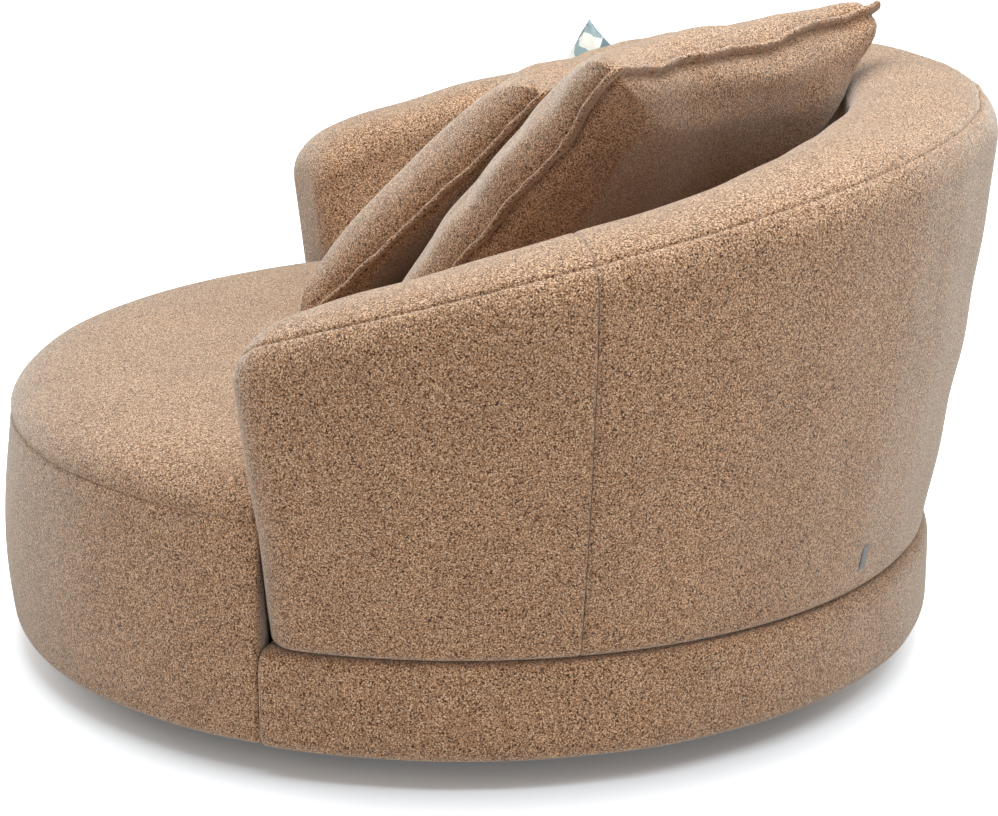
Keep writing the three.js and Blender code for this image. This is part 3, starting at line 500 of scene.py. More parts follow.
def colour_mix(tree, blend, factor, a, b):
    """A Mix Color node on sockets, colours or numbers, giving its output."""
    node = tree.nodes.new("ShaderNodeMix")
    node.data_type = "RGBA"
    node.blend_type = blend
    sockets = (node.inputs[0], node.inputs[6], node.inputs[7])
    for socket, value in zip(sockets, (factor, a, b)):
        if isinstance(value, bpy.types.NodeSocket):
            tree.links.new(value, socket)
        elif isinstance(value, (int, float)):
            socket.default_value = value
        else:
            socket.default_value = (*value, 1.0)
    return node.outputs[2]


def add_node(tree, kind, sockets, **settings):
    """A shader node of a kind with its settings. Each named or numbered socket gets a value,
    or a link where an output is given."""
    node = tree.nodes.new("ShaderNode" + kind)
    for name, value in settings.items():
        setattr(node, name, value)
    for name, value in sockets.items():
        if isinstance(value, bpy.types.NodeSocket):
            tree.links.new(value, node.inputs[name])
        else:
            node.inputs[name].default_value = value
    return node


def weighted_sum(tree, first, share, second, other):
    """Two outputs, each times its share, added up."""
    return math_node(tree, "ADD", math_node(tree, "MULTIPLY", first, share),
                     math_node(tree, "MULTIPLY", second, other))


def looped_yarn_group():
    """Loops of thick and thin yarn: rounded cells of a bent Voronoi pattern, each with a
    brightness of its own, with finer fibres on them and painted shade in the hollows between them."""
    group, inside, outside = group_with(
        "looped_yarn",
        [("Vector", "NodeSocketVector", None), ("Loops per metre", "NodeSocketFloat", 220.0),
         ("Pale", "NodeSocketColor", (1, 1, 1, 1)), ("Body", "NodeSocketColor", (1, 1, 1, 1)),
         ("Dark", "NodeSocketColor", (1, 1, 1, 1))],
        [("Color", "NodeSocketColor"), ("Height", "NodeSocketFloat"),
         ("Roughness", "NodeSocketFloat")])
    given = inside.outputs
    bend = add_node(group, "TexNoise", {"Vector": given["Vector"], "Scale": 380.0, "Detail": 1.0})
    shift = add_node(group, "VectorMath", {0: bend.outputs["Color"], 1: (0.0020, 0.0020, 0.0020),
                                           2: given["Vector"]}, operation="MULTIPLY_ADD")
    loops = add_node(group, "TexVoronoi", {"Vector": shift.outputs[0],
                                           "Scale": given["Loops per metre"]}, feature="F1")
    finer = math_node(group, "MULTIPLY", given["Loops per metre"], 1.9)
    small = add_node(group, "TexVoronoi", {"Vector": shift.outputs[0], "Scale": finer},
                     feature="F1")
    dome = math_node(group, "SUBTRACT", 1.0, loops.outputs["Distance"], True)
    dome = math_node(group, "POWER", dome, 0.7)
    curl = math_node(group, "SUBTRACT", 1.0, small.outputs["Distance"], True)
    height = weighted_sum(group, dome, 0.75, curl, 0.25)
    group.links.new(height, outside.inputs["Height"])
    pick = add_node(group, "SeparateColor", {0: loops.outputs["Color"]})
    pick_small = add_node(group, "SeparateColor", {0: small.outputs["Color"]})
    tone = weighted_sum(group, pick.outputs[0], 0.6, pick_small.outputs[1], 0.4)
    paler = add_node(group, "MapRange", {"Value": tone, "From Min": 0.34, "From Max": 0.82})
    light = colour_mix(group, "MIX", paler.outputs[0], given["Body"], given["Pale"])
    # Painted shade: the dark colour fills the low hollows between the loops, by the yarn's height.
    hollow = add_node(group, "MapRange", {"Value": height, "From Min": 0.36, "From Max": 0.72})
    colour = colour_mix(group, "MIX", hollow.outputs[0], given["Dark"], light)
    cloud = add_node(group, "TexNoise", {"Vector": given["Vector"], "Scale": 9.0, "Detail": 3.0})
    shade = add_node(group, "MapRange", {"Value": cloud.outputs["Fac"], "From Min": 0.3,
                                         "From Max": 0.7, "To Min": 0.93, "To Max": 1.05})
    bright = add_node(group, "VectorMath", {0: colour, "Scale": shade.outputs[0]},
                      operation="SCALE")
    group.links.new(bright.outputs[0], outside.inputs["Color"])
    rough = add_node(group, "MapRange", {"Value": height, "To Min": 1.0, "To Max": 0.86})
    group.links.new(rough.outputs[0], outside.inputs["Roughness"])
    return group


def plain_material(name):
    """A material with an empty Principled shader, its tree, shader and object coordinates."""
    material = bpy.data.materials.new(name)
    material.use_nodes = True
    tree = material.node_tree
    shader = tree.nodes["Principled BSDF"]
    where = tree.nodes.new("ShaderNodeTexCoord")
    return material, tree, shader, where.outputs["Object"]


def bump_into(tree, shader, height, distance, strength):
    """A Bump node from a height to the shader's normal."""
    bump = add_node(tree, "Bump", {"Height": height, "Distance": distance, "Strength": strength})
    tree.links.new(bump.outputs["Normal"], shader.inputs["Normal"])


def set_sockets(shader, values):
    """Plain values for the shader's own sockets."""
    for name, value in values.items():
        shader.inputs[name].default_value = value


def looped_cloth(looks):
    """The camel looped cloth: yarn group into colour, roughness and bump, with a soft sheen.
    It is made once and then found again."""
    found = bpy.data.materials.get("looped_cloth")
    if found:
        return found
    material, tree, shader, where = plain_material("looped_cloth")
    yarn = add_node(tree, "Group", {}, node_tree=looped_yarn_group())
    tree.links.new(where, yarn.inputs["Vector"])
    set_sockets(yarn, {"Loops per metre": 1.0 / looks.loop_size, "Pale": (*looks.pale, 1.0),
                       "Body": (*looks.body, 1.0), "Dark": (*looks.dark, 1.0)})
    tree.links.new(yarn.outputs["Color"], shader.inputs["Base Color"])
    tree.links.new(yarn.outputs["Roughness"], shader.inputs["Roughness"])
    bump_into(tree, shader, yarn.outputs["Height"], 0.0012, 0.8)
    set_sockets(shader, {"Specular IOR Level": 0.15, "Sheen Weight": 0.68,
                         "Sheen Roughness": 0.45, "Sheen Tint": (1.0, 0.94, 0.84, 1.0)})
    return material


# ---------------------------------------------------------------- operators

class PieceOperator:
    """What every operator that adds or finishes pieces shares."""

    bl_options = {"REGISTER", "UNDO"}

    @staticmethod
    def finish_piece(obj, body, slot, nodes, material, fill=None):
        """Gives a finished mesh its material, body and the nodes it stands for; its slot is not
        used.
        """
        obj.data.materials.clear()
        obj.data.materials.append(material)
        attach(obj, body)
        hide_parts(*nodes)
        return obj


class CHAIR_OT_wall(PieceOperator, bpy.types.Operator):
    """Adds the padded back panel and both arm panels with their sewn seams"""

    bl_idname = "chair.wall"
    bl_label = "Wrap-around wall"

    def execute(self, context):
        scene = context.scene
        s, seat, looks = scene.chair_wall, scene.chair_seat, scene.chair_cloth
        mid = middle_radius(s)
        gap = 0.0004 / mid  # half of the slit at an upright seam
        plain_end = s.half_angle - s.end_round / mid
        fine, width = 0.0016 / mid, 0.012 / mid
        seam = s.seam_angle
        back = fine_steps(-seam + gap, seam - gap, 0.010, [-seam, seam], width, fine)
        arm = fine_steps(seam + gap, plain_end, 0.010, [seam], width, fine)
        turn = np.linspace(np.pi / 2, 0.0, 15)[1:]
        arm_end = plain_end + (s.end_round / mid) * np.cos(turn)
        arm_extra = s.end_round * (1 - np.sin(turn))
        cloth = looped_cloth(looks)
        back_inset = edge_inset((seam - np.abs(back)) * mid, PANEL_EDGE_ROUND)
        panels = [("back_panel", back, back_inset, ("shell_cover_back", "shell_foam"))]
        right = np.concatenate([arm, arm_end])
        inset = np.concatenate([edge_inset((arm - seam) * mid, PANEL_EDGE_ROUND), arm_extra])
        panels.append(("arm_panel_right", right, inset, ("shell_cover_arm_right",)))
        panels.append(("arm_panel_left", -right[::-1], inset[::-1], ("shell_cover_arm_left",)))
        for name, angle, inset, nodes in panels:
            points = wall_points(s, seat, angle, inset)
            obj = mesh_from_grid(name, points, close_v=True, cap_u=True)
            self.finish_piece(obj, "seat", "boucle", nodes, cloth, 0.9)
        return {"FINISHED"}


class CHAIR_OT_seat(PieceOperator, bpy.types.Operator):
    """Adds the seat's crowned top, its side and the plinth"""

    bl_idname = "chair.seat"
    bl_label = "Seat and plinth"

    def execute(self, context):
        scene = context.scene
        s, seat, looks = scene.chair_wall, scene.chair_seat, scene.chair_cloth
        cloth = looped_cloth(looks)
        self.finish_piece(seat_top(s, seat), "seat", "boucle",
                          ("seat_cover_top", "seat_foam"), cloth, 0.85)
        self.finish_piece(seat_side(s, seat), "seat", "boucle",
                          ("seat_cover_side", "seat_front_foam"), cloth, 0.9)
        self.finish_piece(plinth(s, seat), "seat", "boucle",
                          ("plinth_cover", "plinth_foam"), cloth, 0.9)
        return {"FINISHED"}


def side_radius(seat, z):
    """Widest radius less a square law of the distance from the widest height."""
    span = seat.seam_height - seat.widest
    return seat.radius - seat.side_bulge * ((z - seat.widest) / span) ** 2


def dome_height(seat, share):
    """Seam height plus a flattened dome over the share of the radius."""
    return (seat.seam_height + (seat.crown_height - seat.seam_height)
            * np.sqrt(clamp(1 - share ** seat.dome_power)))


def seat_top(s, seat):
    """The top: a flattened dome over a disc whose radius is the drum's in front and the
    wall's inner face behind, closed below by a shallow copy of itself."""
    edge = side_radius(seat, seat.seam_height)
    end = s.half_angle
    angle = fine_steps(-np.pi, np.pi - 0.012, 0.014, [-end, end], 0.05, 0.0035)
    inner_z = seat.seam_height + 0.05  # height where the top meets the wall's inner face
    tuck = 0.004  # how far the top reaches in behind that face
    inner = outer_radius(s, seat, inner_z) - wall_thickness(s, seat, angle, inner_z) + tuck
    nose_angle = s.end_round / middle_radius(s)
    nose = ramp(np.abs(angle), end - nose_angle, nose_angle)
    follows = 0.9  # share of the arm end's rounding that the top follows
    inner = inner + s.end_round * (1 - np.sqrt(1 - clamp(nose, 0, 0.9999) ** 2)) * follows
    past_end = 0.010  # angle past an arm end where the full radius begins
    rim = np.where(np.abs(angle) < end + past_end, np.minimum(inner, edge), edge)
    flat_end = 0.86  # share of the radius where the columns start to crowd
    flat = np.linspace(0.02, flat_end, 44)
    sink = np.linspace(np.sqrt(1 - flat_end ** seat.dome_power), 0.0, 26)[1:]
    share = np.concatenate([flat, clamp(1 - sink ** 2) ** (1 / seat.dome_power)])
    radius = rim[:, None] * share[None, :]
    height = dome_height(seat, clamp(radius / edge))
    from_seam = edge - radius + (height - seat.seam_height)
    front = (rim > edge - 0.001)[:, None]
    roll = np.where(front, groove(from_seam, *SEAT_TOP_SEAM), 0.0)
    turned = angle[:, None] + 0 * radius
    points = round_the_chair(radius, turned, height)
    wobble = ripples(points, 0.26, 0.0016, 21)
    pucker = ripples(points, 0.034, 0.0008, 23) * bell(from_seam, 0.0, 0.03) * front
    height = height + (wobble + pucker) * ramp(from_seam, 0.0, 0.05) - 0.3 * roll
    radius = radius - roll
    points = round_the_chair(radius, turned, height)
    under = points[:, ::-1].copy()
    padding = 0.012  # from the top down to the copy that closes it
    under[..., :2] *= 0.985
    under[..., 2] = np.minimum(under[..., 2] - padding, seat.seam_height + SEAM_SLIT)
    points[:, -1, 2] = seat.seam_height + SEAM_SLIT
    ring = np.concatenate([points, under], axis=1)
    obj = mesh_from_grid("seat_top", ring, close_u=True)
    return shut_middle(obj, ring)


def shut_middle(obj, ring):
    """Closes the open first and last columns of a ring-shaped grid with two fans, which turn
    the same way as the grid's own faces."""
    rows, cols = ring.shape[:2]
    mesh = obj.data
    verts = np.vstack([vertex_array(mesh), ring[:, 0].mean(axis=0), ring[:, -1].mean(axis=0)])
    quads = np.empty(len(mesh.loops), np.int32)
    mesh.loops.foreach_get("vertex_index", quads)
    k = np.arange(rows)
    n = (k + 1) % rows
    count, end = rows * cols, cols - 1
    top = np.stack([np.full(rows, count), k * cols, n * cols], axis=-1)
    low = np.stack([np.full(rows, count + 1), n * cols + end, k * cols + end], axis=-1)
    name = obj.name
    quads = quads.reshape(-1, 4)
    first = quads[0].tolist()
    if first[(first.index(0) + 1) % 4] != 1:
        top, low = top[:, ::-1], low[:, ::-1]
    bpy.data.objects.remove(obj)
    return mesh_from_faces(name, verts, quads, np.vstack([top, low]))


def seat_side(s, seat):
    """The drum's side in front of the arms: the barrelled side from the seam down, rounded
    under at the bottom, with its sewn ends and a flat inner face, as one closed band."""
    mid = seat.radius
    end_slit = 0.0006  # from the arm's end to this band's
    low_angle = s.half_angle + end_slit / mid
    span = 2 * np.pi - 2 * low_angle
    along = fine_steps(0.0, span, 0.012, [0.0, span], 0.014 / mid, 0.0018 / mid)
    angle = low_angle + along
    inset = edge_inset(np.minimum(along, span - along) * mid, BAND_EDGE_ROUND)[:, None]
    top = seat.seam_height - SEAM_SLIT
    z = np.linspace(top, seat.bottom + seat.under_tuck, 60)
    below_seam = top - np.array([0.0015, 0.003, 0.0045, 0.0065, 0.009])  # more rows there
    z = np.sort(np.concatenate([z, below_seam]))[::-1]
    heel = np.linspace(0.0, np.pi / 2, 7)[1:]
    r = side_radius(seat, z)
    base = side_radius(seat, seat.bottom + seat.under_tuck)
    r = np.concatenate([r, base - seat.under_tuck * (1 - np.cos(heel))])
    z = np.concatenate([z, seat.bottom + seat.under_tuck * (1 - np.sin(heel))])
    turned = angle[:, None] + 0 * r[None, :]
    radius, height = r[None, :] + 0 * turned, z[None, :] + 0 * turned
    points = round_the_chair(radius, turned, height)
    from_seam = seat.seam_height - height
    push = -groove(from_seam, *SEAT_SIDE_SEAM) - inset
    push = push + ripples(points, 0.028, 0.0008, 31) * bell(from_seam, 0.0, 0.03)
    push = push + ripples(points, 0.30, 0.0016, 33)
    radius = radius + push
    back_r = np.array([SIDE_INNER, SIDE_INNER])
    back_z = np.array([seat.bottom, top])
    radius = np.hstack([radius, back_r[None, :] + 0 * angle[:, None]])
    height = np.hstack([height, back_z[None, :] + 0 * angle[:, None]])
    turned = angle[:, None] + 0 * radius
    points = round_the_chair(radius, turned, height)
    return mesh_from_grid("seat_side", points, close_v=True, cap_u=True)


def plinth(s, seat):
    """The plinth: a squared-off half ellipse carried round the back, with sewn ends and a
    flat inner face."""
    mid = seat.plinth_radius
    end_slit = 0.0010
    end = s.half_angle - end_slit / mid
    angle = fine_steps(-end, end, 0.012, [-end, end], 0.014 / mid, 0.0018 / mid)
    inset = edge_inset((end - np.abs(angle)) * mid, BAND_EDGE_ROUND)[:, None]
    a = np.linspace(np.pi / 2, -np.pi / 2, 57)[None, :]
    middle = (seat.plinth_top + seat.bottom) / 2
    half = (seat.plinth_top - seat.bottom) / 2
    share = 2 / seat.plinth_power
    radius = (seat.plinth_radius - seat.plinth_depth
              + (seat.plinth_depth - inset) * np.abs(np.cos(a)) ** share)
    height = middle + (half - 0.4 * inset) * signed_power(np.sin(a), share)
    turned = angle[:, None] + 0 * radius
    points = round_the_chair(radius, turned, height)
    push = ripples(points, 0.22, 0.0013, 41) * np.abs(np.cos(a)) ** 0.5
    pucker = ripples(points, 0.03, 0.0007, 43) * bell(height, seat.plinth_top, 0.02)
    radius = radius + push + pucker * np.abs(np.cos(a)) ** 0.5
    inner = seat.plinth_radius - seat.plinth_depth
    radius = np.hstack([radius, np.full((len(angle), 1), inner)])
    height = np.hstack([height, np.full((len(angle), 1), seat.bottom)])
    radius[:, 0], radius[:, -2] = inner, inner + 0.0002
    turned = angle[:, None] + 0 * radius
    points = round_the_chair(radius, turned, height)
    return mesh_from_grid("plinth", points, close_v=True, cap_u=True)


# ---------------------------------------------------------------- cushions

def cushion_basis(c):
    """Across, up and front directions of a leaning cushion, as columns."""
    back = np.array([np.sin(c.turn), np.cos(c.turn), 0.0])
    up = np.sin(c.lean) * back + np.cos(c.lean) * np.array([0, 0, 1.0])
    front = -np.cos(c.lean) * back + np.sin(c.lean) * np.array([0, 0, 1.0])
    across = np.cross(up, front)
    turned = np.cos(c.roll) * across + np.sin(c.roll) * up
    raised = -np.sin(c.roll) * across + np.cos(c.roll) * up
    return np.stack([turned, raised, front], axis=1)


def sewn_reach(c):
    """Half the edge length of a cushion inside its flange."""
    return c.size / 2 - c.flange


def drawn_in(c, a, b):
    """Places in the cushion's plane at shares a and b of the way to its edges, with the
    sides drawn in between the corners by a square law."""
    half = sewn_reach(c)
    x = half * a * (1 - DRAW_IN * (1 - b ** 2) * a ** 2)
    y = half * b * (1 - DRAW_IN * (1 - a ** 2) * b ** 2)
    return x, y


def crowded(steps):
    """Rising values from -1 to 1, closer together towards both ends, as a sine."""
    return np.sin(np.linspace(-1, 1, steps) * np.pi / 2)


def pillow_grid(c, steps, shrink=0.0):
    """Both faces of a pillow over the square from -1 to 1: places in its plane, and the
    heights of the front and the back face."""
    a, b = np.meshgrid(crowded(steps), crowded(steps), indexing="ij")
    x, y = drawn_in(c, a, b)
    top, low = face_heights(c, a, b, shrink)
    return x, y, top, low


def face_heights(c, a, b, shrink=0.0):
    """Heights of the front and the back face at shares a and b of the way to the edges: on
    each side a crown that falls to the sewn edge as a power of the distance to it and leans
    across the cushion."""
    rise = clamp((1 - a ** 2) * (1 - b ** 2)) ** c.softness
    top = SEWN_HALF + (c.front - SEWN_HALF - shrink) * (1 + c.slant * a) * rise
    low = SEWN_HALF + (c.back - SEWN_HALF - shrink) * (1 - c.slant * a) * rise
    return top, -low


def pillow_mesh(name, c, steps, shrink):
    """A closed pillow: a top and a bottom face joined by a narrow band at the sewn edge."""
    x, y, z_top, z_low = pillow_grid(c, steps, shrink)
    top = np.stack([x, y, z_top], axis=-1).reshape(-1, 3)
    low = np.stack([x, y, z_low], axis=-1).reshape(-1, 3)
    count = steps * steps
    i = np.arange(steps - 1)
    a = (i[:, None] * steps + i[None, :])
    face = np.stack([a, a + steps, a + steps + 1, a + 1], axis=-1).reshape(-1, 4)
    rim = np.concatenate([
        np.arange(steps - 1) * steps,
        (steps - 1) * steps + np.arange(steps - 1),
        (np.arange(steps - 1, 0, -1)) * steps + steps - 1,
        np.arange(steps - 1, 0, -1),
    ])
    after = np.roll(rim, -1)
    band = np.stack([rim, after, after + count, rim + count], axis=-1)
    quads = np.vstack([face, face[:, ::-1] + count, band[:, ::-1]])
    return mesh_from_faces(name, np.vstack([top, low]), quads)


def edge_shares(c, co):
    """Shares of the way to the sewn edges at each point, kept between -1 and 1."""
    half = sewn_reach(c)
    return clamp(co[:, 0] / half, -1, 1), clamp(co[:, 1] / half, -1, 1)


def edge_distance(c, co):
    """Distance of each point from the pillow's sewn edge, in its own plane."""
    half = sewn_reach(c)
    a, b = edge_shares(c, co)
    side_a = half * (1 - DRAW_IN * (1 - b ** 2)) - np.abs(co[:, 0])
    side_b = half * (1 - DRAW_IN * (1 - a ** 2)) - np.abs(co[:, 1])
    return np.minimum(side_a, side_b)


def inflate(obj, c, voxel, pressure, cap):
    """Blows a pillow up as cloth: remeshed evenly and pressed out for some frames. Each
    point's way is limited, and is none at the sewn edge. Then the faces are kept near their
    formula and smoothed away from the edge."""
    scene = bpy.context.scene
    bpy.context.view_layer.objects.active = obj
    remesh = obj.modifiers.new("even", "REMESH")
    remesh.mode = "VOXEL"
    remesh.voxel_size = voxel
    remesh.use_smooth_shade = True
    bpy.ops.object.modifier_apply(modifier=remesh.name)
    start = vertex_array(obj.data)
    cloth = obj.modifiers.new("cloth", "CLOTH")
    for name, value in (("quality", 4), ("mass", 0.35), ("tension_stiffness", 18),
                        ("compression_stiffness", 18), ("shear_stiffness", 8),
                        ("bending_stiffness", 2.0), ("use_pressure", True),
                        ("uniform_pressure_force", pressure)):
        setattr(cloth.settings, name, value)
    cloth.settings.effector_weights.gravity = 0.0
    cloth.collision_settings.use_self_collision = False
    frames = 20
    cloth.point_cache.frame_start, cloth.point_cache.frame_end = 1, frames
    for step in range(1, frames + 1):
        scene.frame_set(step)
    depsgraph = bpy.context.evaluated_depsgraph_get()
    baked = obj.evaluated_get(depsgraph).to_mesh()
    moved = vertex_array(baked) - start
    obj.evaluated_get(depsgraph).to_mesh_clear()
    obj.modifiers.remove(cloth)
    scene.frame_set(1)
    way = np.linalg.norm(moved, axis=1, keepdims=True)
    moved *= np.minimum(1.0, cap / np.maximum(way, 1e-9))
    hold = ramp(edge_distance(c, start), 0.0, 0.030)[:, None]
    co = start + moved * hold ** 0.7
    a, b = edge_shares(c, co)
    top, low = face_heights(c, a * 0.97, b * 0.97)
    slack = 0.003  # way that a point may be off the formula's faces
    co[:, 2] = clamp(co[:, 2], low - slack, top + slack)
    reach = np.hypot(np.maximum(edge_distance(c, co), 0.0), np.abs(co[:, 2]))
    free = ramp(reach, 0.006, 0.030)
    set_vertices(obj.data, smoothed(obj.data, co, rounds=30, hold=free))


def wander(co, c, seed):
    """Slack of the sewn edge: smooth waves in the cushion's plane and across it, strongest
    at the edge and fading inwards. The corners are drawn out a little into ears, the upper
    ones more, and the back face is filled out towards one side, bell-shaped both ways."""
    flat = co * np.array([1.0, 1.0, 0.0])
    half = sewn_reach(c)
    ear_width, corner_pull = 0.045, 0.007
    ear = np.exp(-((np.abs(co[:, 0]) - half) ** 2 + (np.abs(co[:, 1]) - half) ** 2)
                 / ear_width ** 2)
    a, b = co[:, 0] / half, co[:, 1] / half
    pull = (corner_pull + c.ear * clamp(b))[:, None] * np.sign(flat) * ear[:, None]
    pull[:, 2] -= (c.side_fill * np.exp(-((a + 0.70) / 0.38) ** 2 - ((b - 0.38) / 0.55) ** 2)
                   * ramp(-co[:, 2], 0.0, 0.040))
    near = bell(np.maximum(edge_distance(c, co), 0.0), 0.0, 0.060)
    shift = np.stack([ripples(flat, 0.26, 0.0020, seed + 5),
                      ripples(flat, 0.26, 0.0020, seed + 6),
                      ripples(flat, 0.15, 0.0034, seed + 7)], axis=-1)
    return co + pull + shift * near[..., None]


def corner_folds(co, c):
    """Gathers at the corners: waves round each corner that fade with the distance to it."""
    half = sewn_reach(c)
    total = np.zeros(len(co))
    for across in (-1, 1):
        for along in (-1, 1):
            dx, dy = across * half - co[:, 0], along * half - co[:, 1]
            far = np.hypot(dx, dy)
            turn = np.arctan2(np.abs(dy), np.abs(dx))
            total += (np.cos(11 * turn + across - 0.6 * along) * bell(far, 0.0, 0.075)
                      * ramp(far, 0.0, 0.02))
    return total


def flange_mesh(name, c, seed, steps=150):
    """The flat sewn edge: a rounded flat section carried round the pillow's rim, a little
    wavy, with the seam line pressed in where it meets the pillow."""
    t = crowded(steps)[:-1]
    one = np.ones_like(t)
    x, y = drawn_in(c, np.concatenate([t, one, -t, -one]), np.concatenate([-one, t, one, -t]))
    rim = np.stack([x, y, 0 * x], axis=-1)
    along = to_length(np.roll(rim, -1, axis=0) - np.roll(rim, 1, axis=0))
    out = to_length(np.stack([along[:, 1], -along[:, 0], 0 * x], axis=-1))
    for _ in range(6):
        out = (np.roll(out, 1, axis=0) + 2 * out + np.roll(out, -1, axis=0)) / 4
    turn = np.linspace(0, 2 * np.pi, 17)[:-1]
    across = np.cos(turn)
    squareness = 0.75
    side = np.where(across > 0, c.flange * 0.62, 1.1 * c.flange)
    reach = side * signed_power(across, squareness) + c.flange * 0.30
    depth = (c.edge_thickness * signed_power(np.sin(turn), squareness)
             * (0.8 + 0.2 * across))
    lift = ripples(rim, 0.05, 0.0010, seed + 71)
    swell = 1 + ripples(rim, 0.035, 0.10, seed + 75)
    points = (wander(rim, c, seed)[:, None, :]
              + out[:, None, :] * (reach[None, :] * swell[:, None])[..., None])
    points[..., 2] += depth[None, :] * swell[:, None] + lift[:, None]
    return mesh_from_grid(name, points, close_u=True, close_v=True)


def soften(obj, c, seed):
    """Puckers and a valley along the sewn edge, gathers at the corners and slack hollows on
    the faces, all along the faces' own directions."""
    co, no = vertex_array(obj.data), normal_array(obj.data)
    inward = edge_distance(c, co)
    stretched = co * np.array([1.0, 1.0, 0.35])
    level = np.abs(co[:, 2])
    seam = np.hypot(np.maximum(inward, 0.0), level)
    pucker = ripples(stretched, 0.050, 0.0010, seed) * bell(seam, 0.0, 0.040)
    slack = (ripples(stretched, 0.22, 0.0022, seed + 1) - 0.0024) * ramp(seam, 0.0, 0.06)
    valley = 0.0040 * bell(level, c.edge_thickness, 0.008) * bell(inward, 0.0, 0.03)
    gather = 0.0022 * corner_folds(co, c)
    moved = co + no * (pucker + slack + gather - valley)[:, None]
    set_vertices(obj.data, wander(moved, c, seed))


def clear_of_wall(s, seat, co, gap=0.004):
    """Points drawn in towards the swivel's axis where they would reach into the wall's
    inner face or the inner half of its crown."""
    angle, reach = np.arctan2(co[:, 0], co[:, 1]), np.hypot(co[:, 0], co[:, 1])
    z = co[:, 2]
    shoulder = crown_height(s, angle) - s.crown_rise
    low = np.minimum(z, shoulder)
    thick = wall_thickness(s, seat, angle, low)
    rise = ramp(z, shoulder, s.crown_rise)
    power = s.crown_power
    lip = thick / 2 * (1 - (1 - rise ** power) ** (1 / power))
    swell = lining_swell(np.degrees(angle)) * bell(z - shoulder, 0.02, 0.07)
    limit = outer_radius(s, seat, low) - thick + lip - swell - gap
    free = (rise >= 1) | (np.abs(angle) > s.half_angle)
    share = np.where(free, 1.0, np.minimum(1.0, limit / np.maximum(reach, 1e-6)))
    return co * np.stack([share, share, 1 + 0 * share], axis=-1)


def place_cushion(objs, c, node):
    """Turns the pieces of a cushion to their lean and sets them where the frame's cushion
    is, drawn in wherever they would reach the wall at rest or on the way up."""
    s, seat = bpy.context.scene.chair_wall, bpy.context.scene.chair_seat
    basis = cushion_basis(c)
    low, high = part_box(node)
    x, y, z_top, z_low = pillow_grid(c, steps=21)
    x = x + np.sign(x) * (np.abs(x) > x.max() * 0.94) * c.flange
    y = y + np.sign(y) * (np.abs(y) > y.max() * 0.94) * c.flange
    both = np.stack([np.stack([x, y, z], axis=-1) for z in (z_top, z_low)])
    both = both.reshape(-1, 3) @ basis.T
    centre = (np.array(low) + np.array(high)) / 2 - (both.min(axis=0) + both.max(axis=0)) / 2
    for obj in objs:
        co = vertex_array(obj.data) @ basis.T + centre
        for way in np.linspace(0.0, LIFT_RANGE, 11):
            lifted = co + way * LIFT_AXIS
            co = co + clear_of_wall(s, seat, lifted) - lifted
        set_vertices(obj.data, co)


class CHAIR_OT_cushions(PieceOperator, bpy.types.Operator):
    """Adds the two large leaning cushions, blown up as cloth, with their flanges"""

    bl_idname = "chair.cushions"
    bl_label = "Large cushions"

    def execute(self, context):
        looks = context.scene.chair_cloth
        cloth = looped_cloth(looks)
        for key, seed in (("near", 101), ("far", 131)):
            c = getattr(context.scene, f"chair_{key}_cushion")
            pad = pillow_mesh(f"{key}_cushion", c, steps=61, shrink=0.006)
            inflate(pad, c, voxel=0.0055, pressure=4.0, cap=0.012)
            soften(pad, c, seed)
            rim = flange_mesh(f"{key}_cushion_flange", c, seed)
            place_cushion((pad, rim), c, f"{key}_cushion_cover")
            self.finish_piece(pad, f"{key}_cushion", "boucle", cushion_nodes(f"{key}_cushion"),
                              cloth, 0.75)
            self.finish_piece(rim, f"{key}_cushion", "boucle", (), cloth)
        return {"FINISHED"}


def cushion_nodes(body):
    """The frame's nodes that a cushion stands for."""
    return f"{body}_cover", f"{body}_insert", f"{body}_zip"


def printed_cloth():
    """A plain weave printed with blocks of soft colour: angular cells, each in one of six
    colours, with the fine light and dark of the weave over them."""
    material, tree, shader, where = plain_material("printed_cloth")
    layout = add_node(tree, "Mapping", {"Vector": where, "Location": (0.13, 0.27, 0.04),
                                        "Rotation": (0.4, 0.7, 0.2)})
    cells = add_node(tree, "TexVoronoi", {"Vector": layout.outputs[0], "Scale": 34.0,
                                          "Randomness": 0.85}, distance="MANHATTAN")
    pick = add_node(tree, "SeparateColor", {0: cells.outputs["Color"]})
    blocks = add_node(tree, "ValToRGB", {"Fac": pick.outputs[0]})
    blocks.color_ramp.interpolation = "CONSTANT"
    colours = [(0.0, (0.115, 0.165, 0.170)), (0.20, (0.74, 0.70, 0.60)),
               (0.42, (0.47, 0.46, 0.52)), (0.58, (0.47, 0.29, 0.13)),
               (0.72, (0.50, 0.26, 0.23)), (0.82, (0.27, 0.34, 0.34))]
    stops = blocks.color_ramp.elements
    while len(stops) < len(colours):
        stops.new(0.5)
    for stop, (place, colour) in zip(stops, colours):
        stop.position = place
        stop.color = (*colour, 1.0)
    weave = add_node(tree, "TexNoise", {"Vector": where, "Scale": 900.0})
    shade = add_node(tree, "MapRange", {"Value": weave.outputs["Fac"], "To Min": 0.82,
                                        "To Max": 1.12})
    bright = add_node(tree, "VectorMath", {0: blocks.outputs["Color"],
                                           "Scale": shade.outputs[0]}, operation="SCALE")
    tree.links.new(bright.outputs[0], shader.inputs["Base Color"])
    set_sockets(shader, {"Roughness": 0.8})
    bump_into(tree, shader, weave.outputs["Fac"], 0.0004, 0.6)
    return material


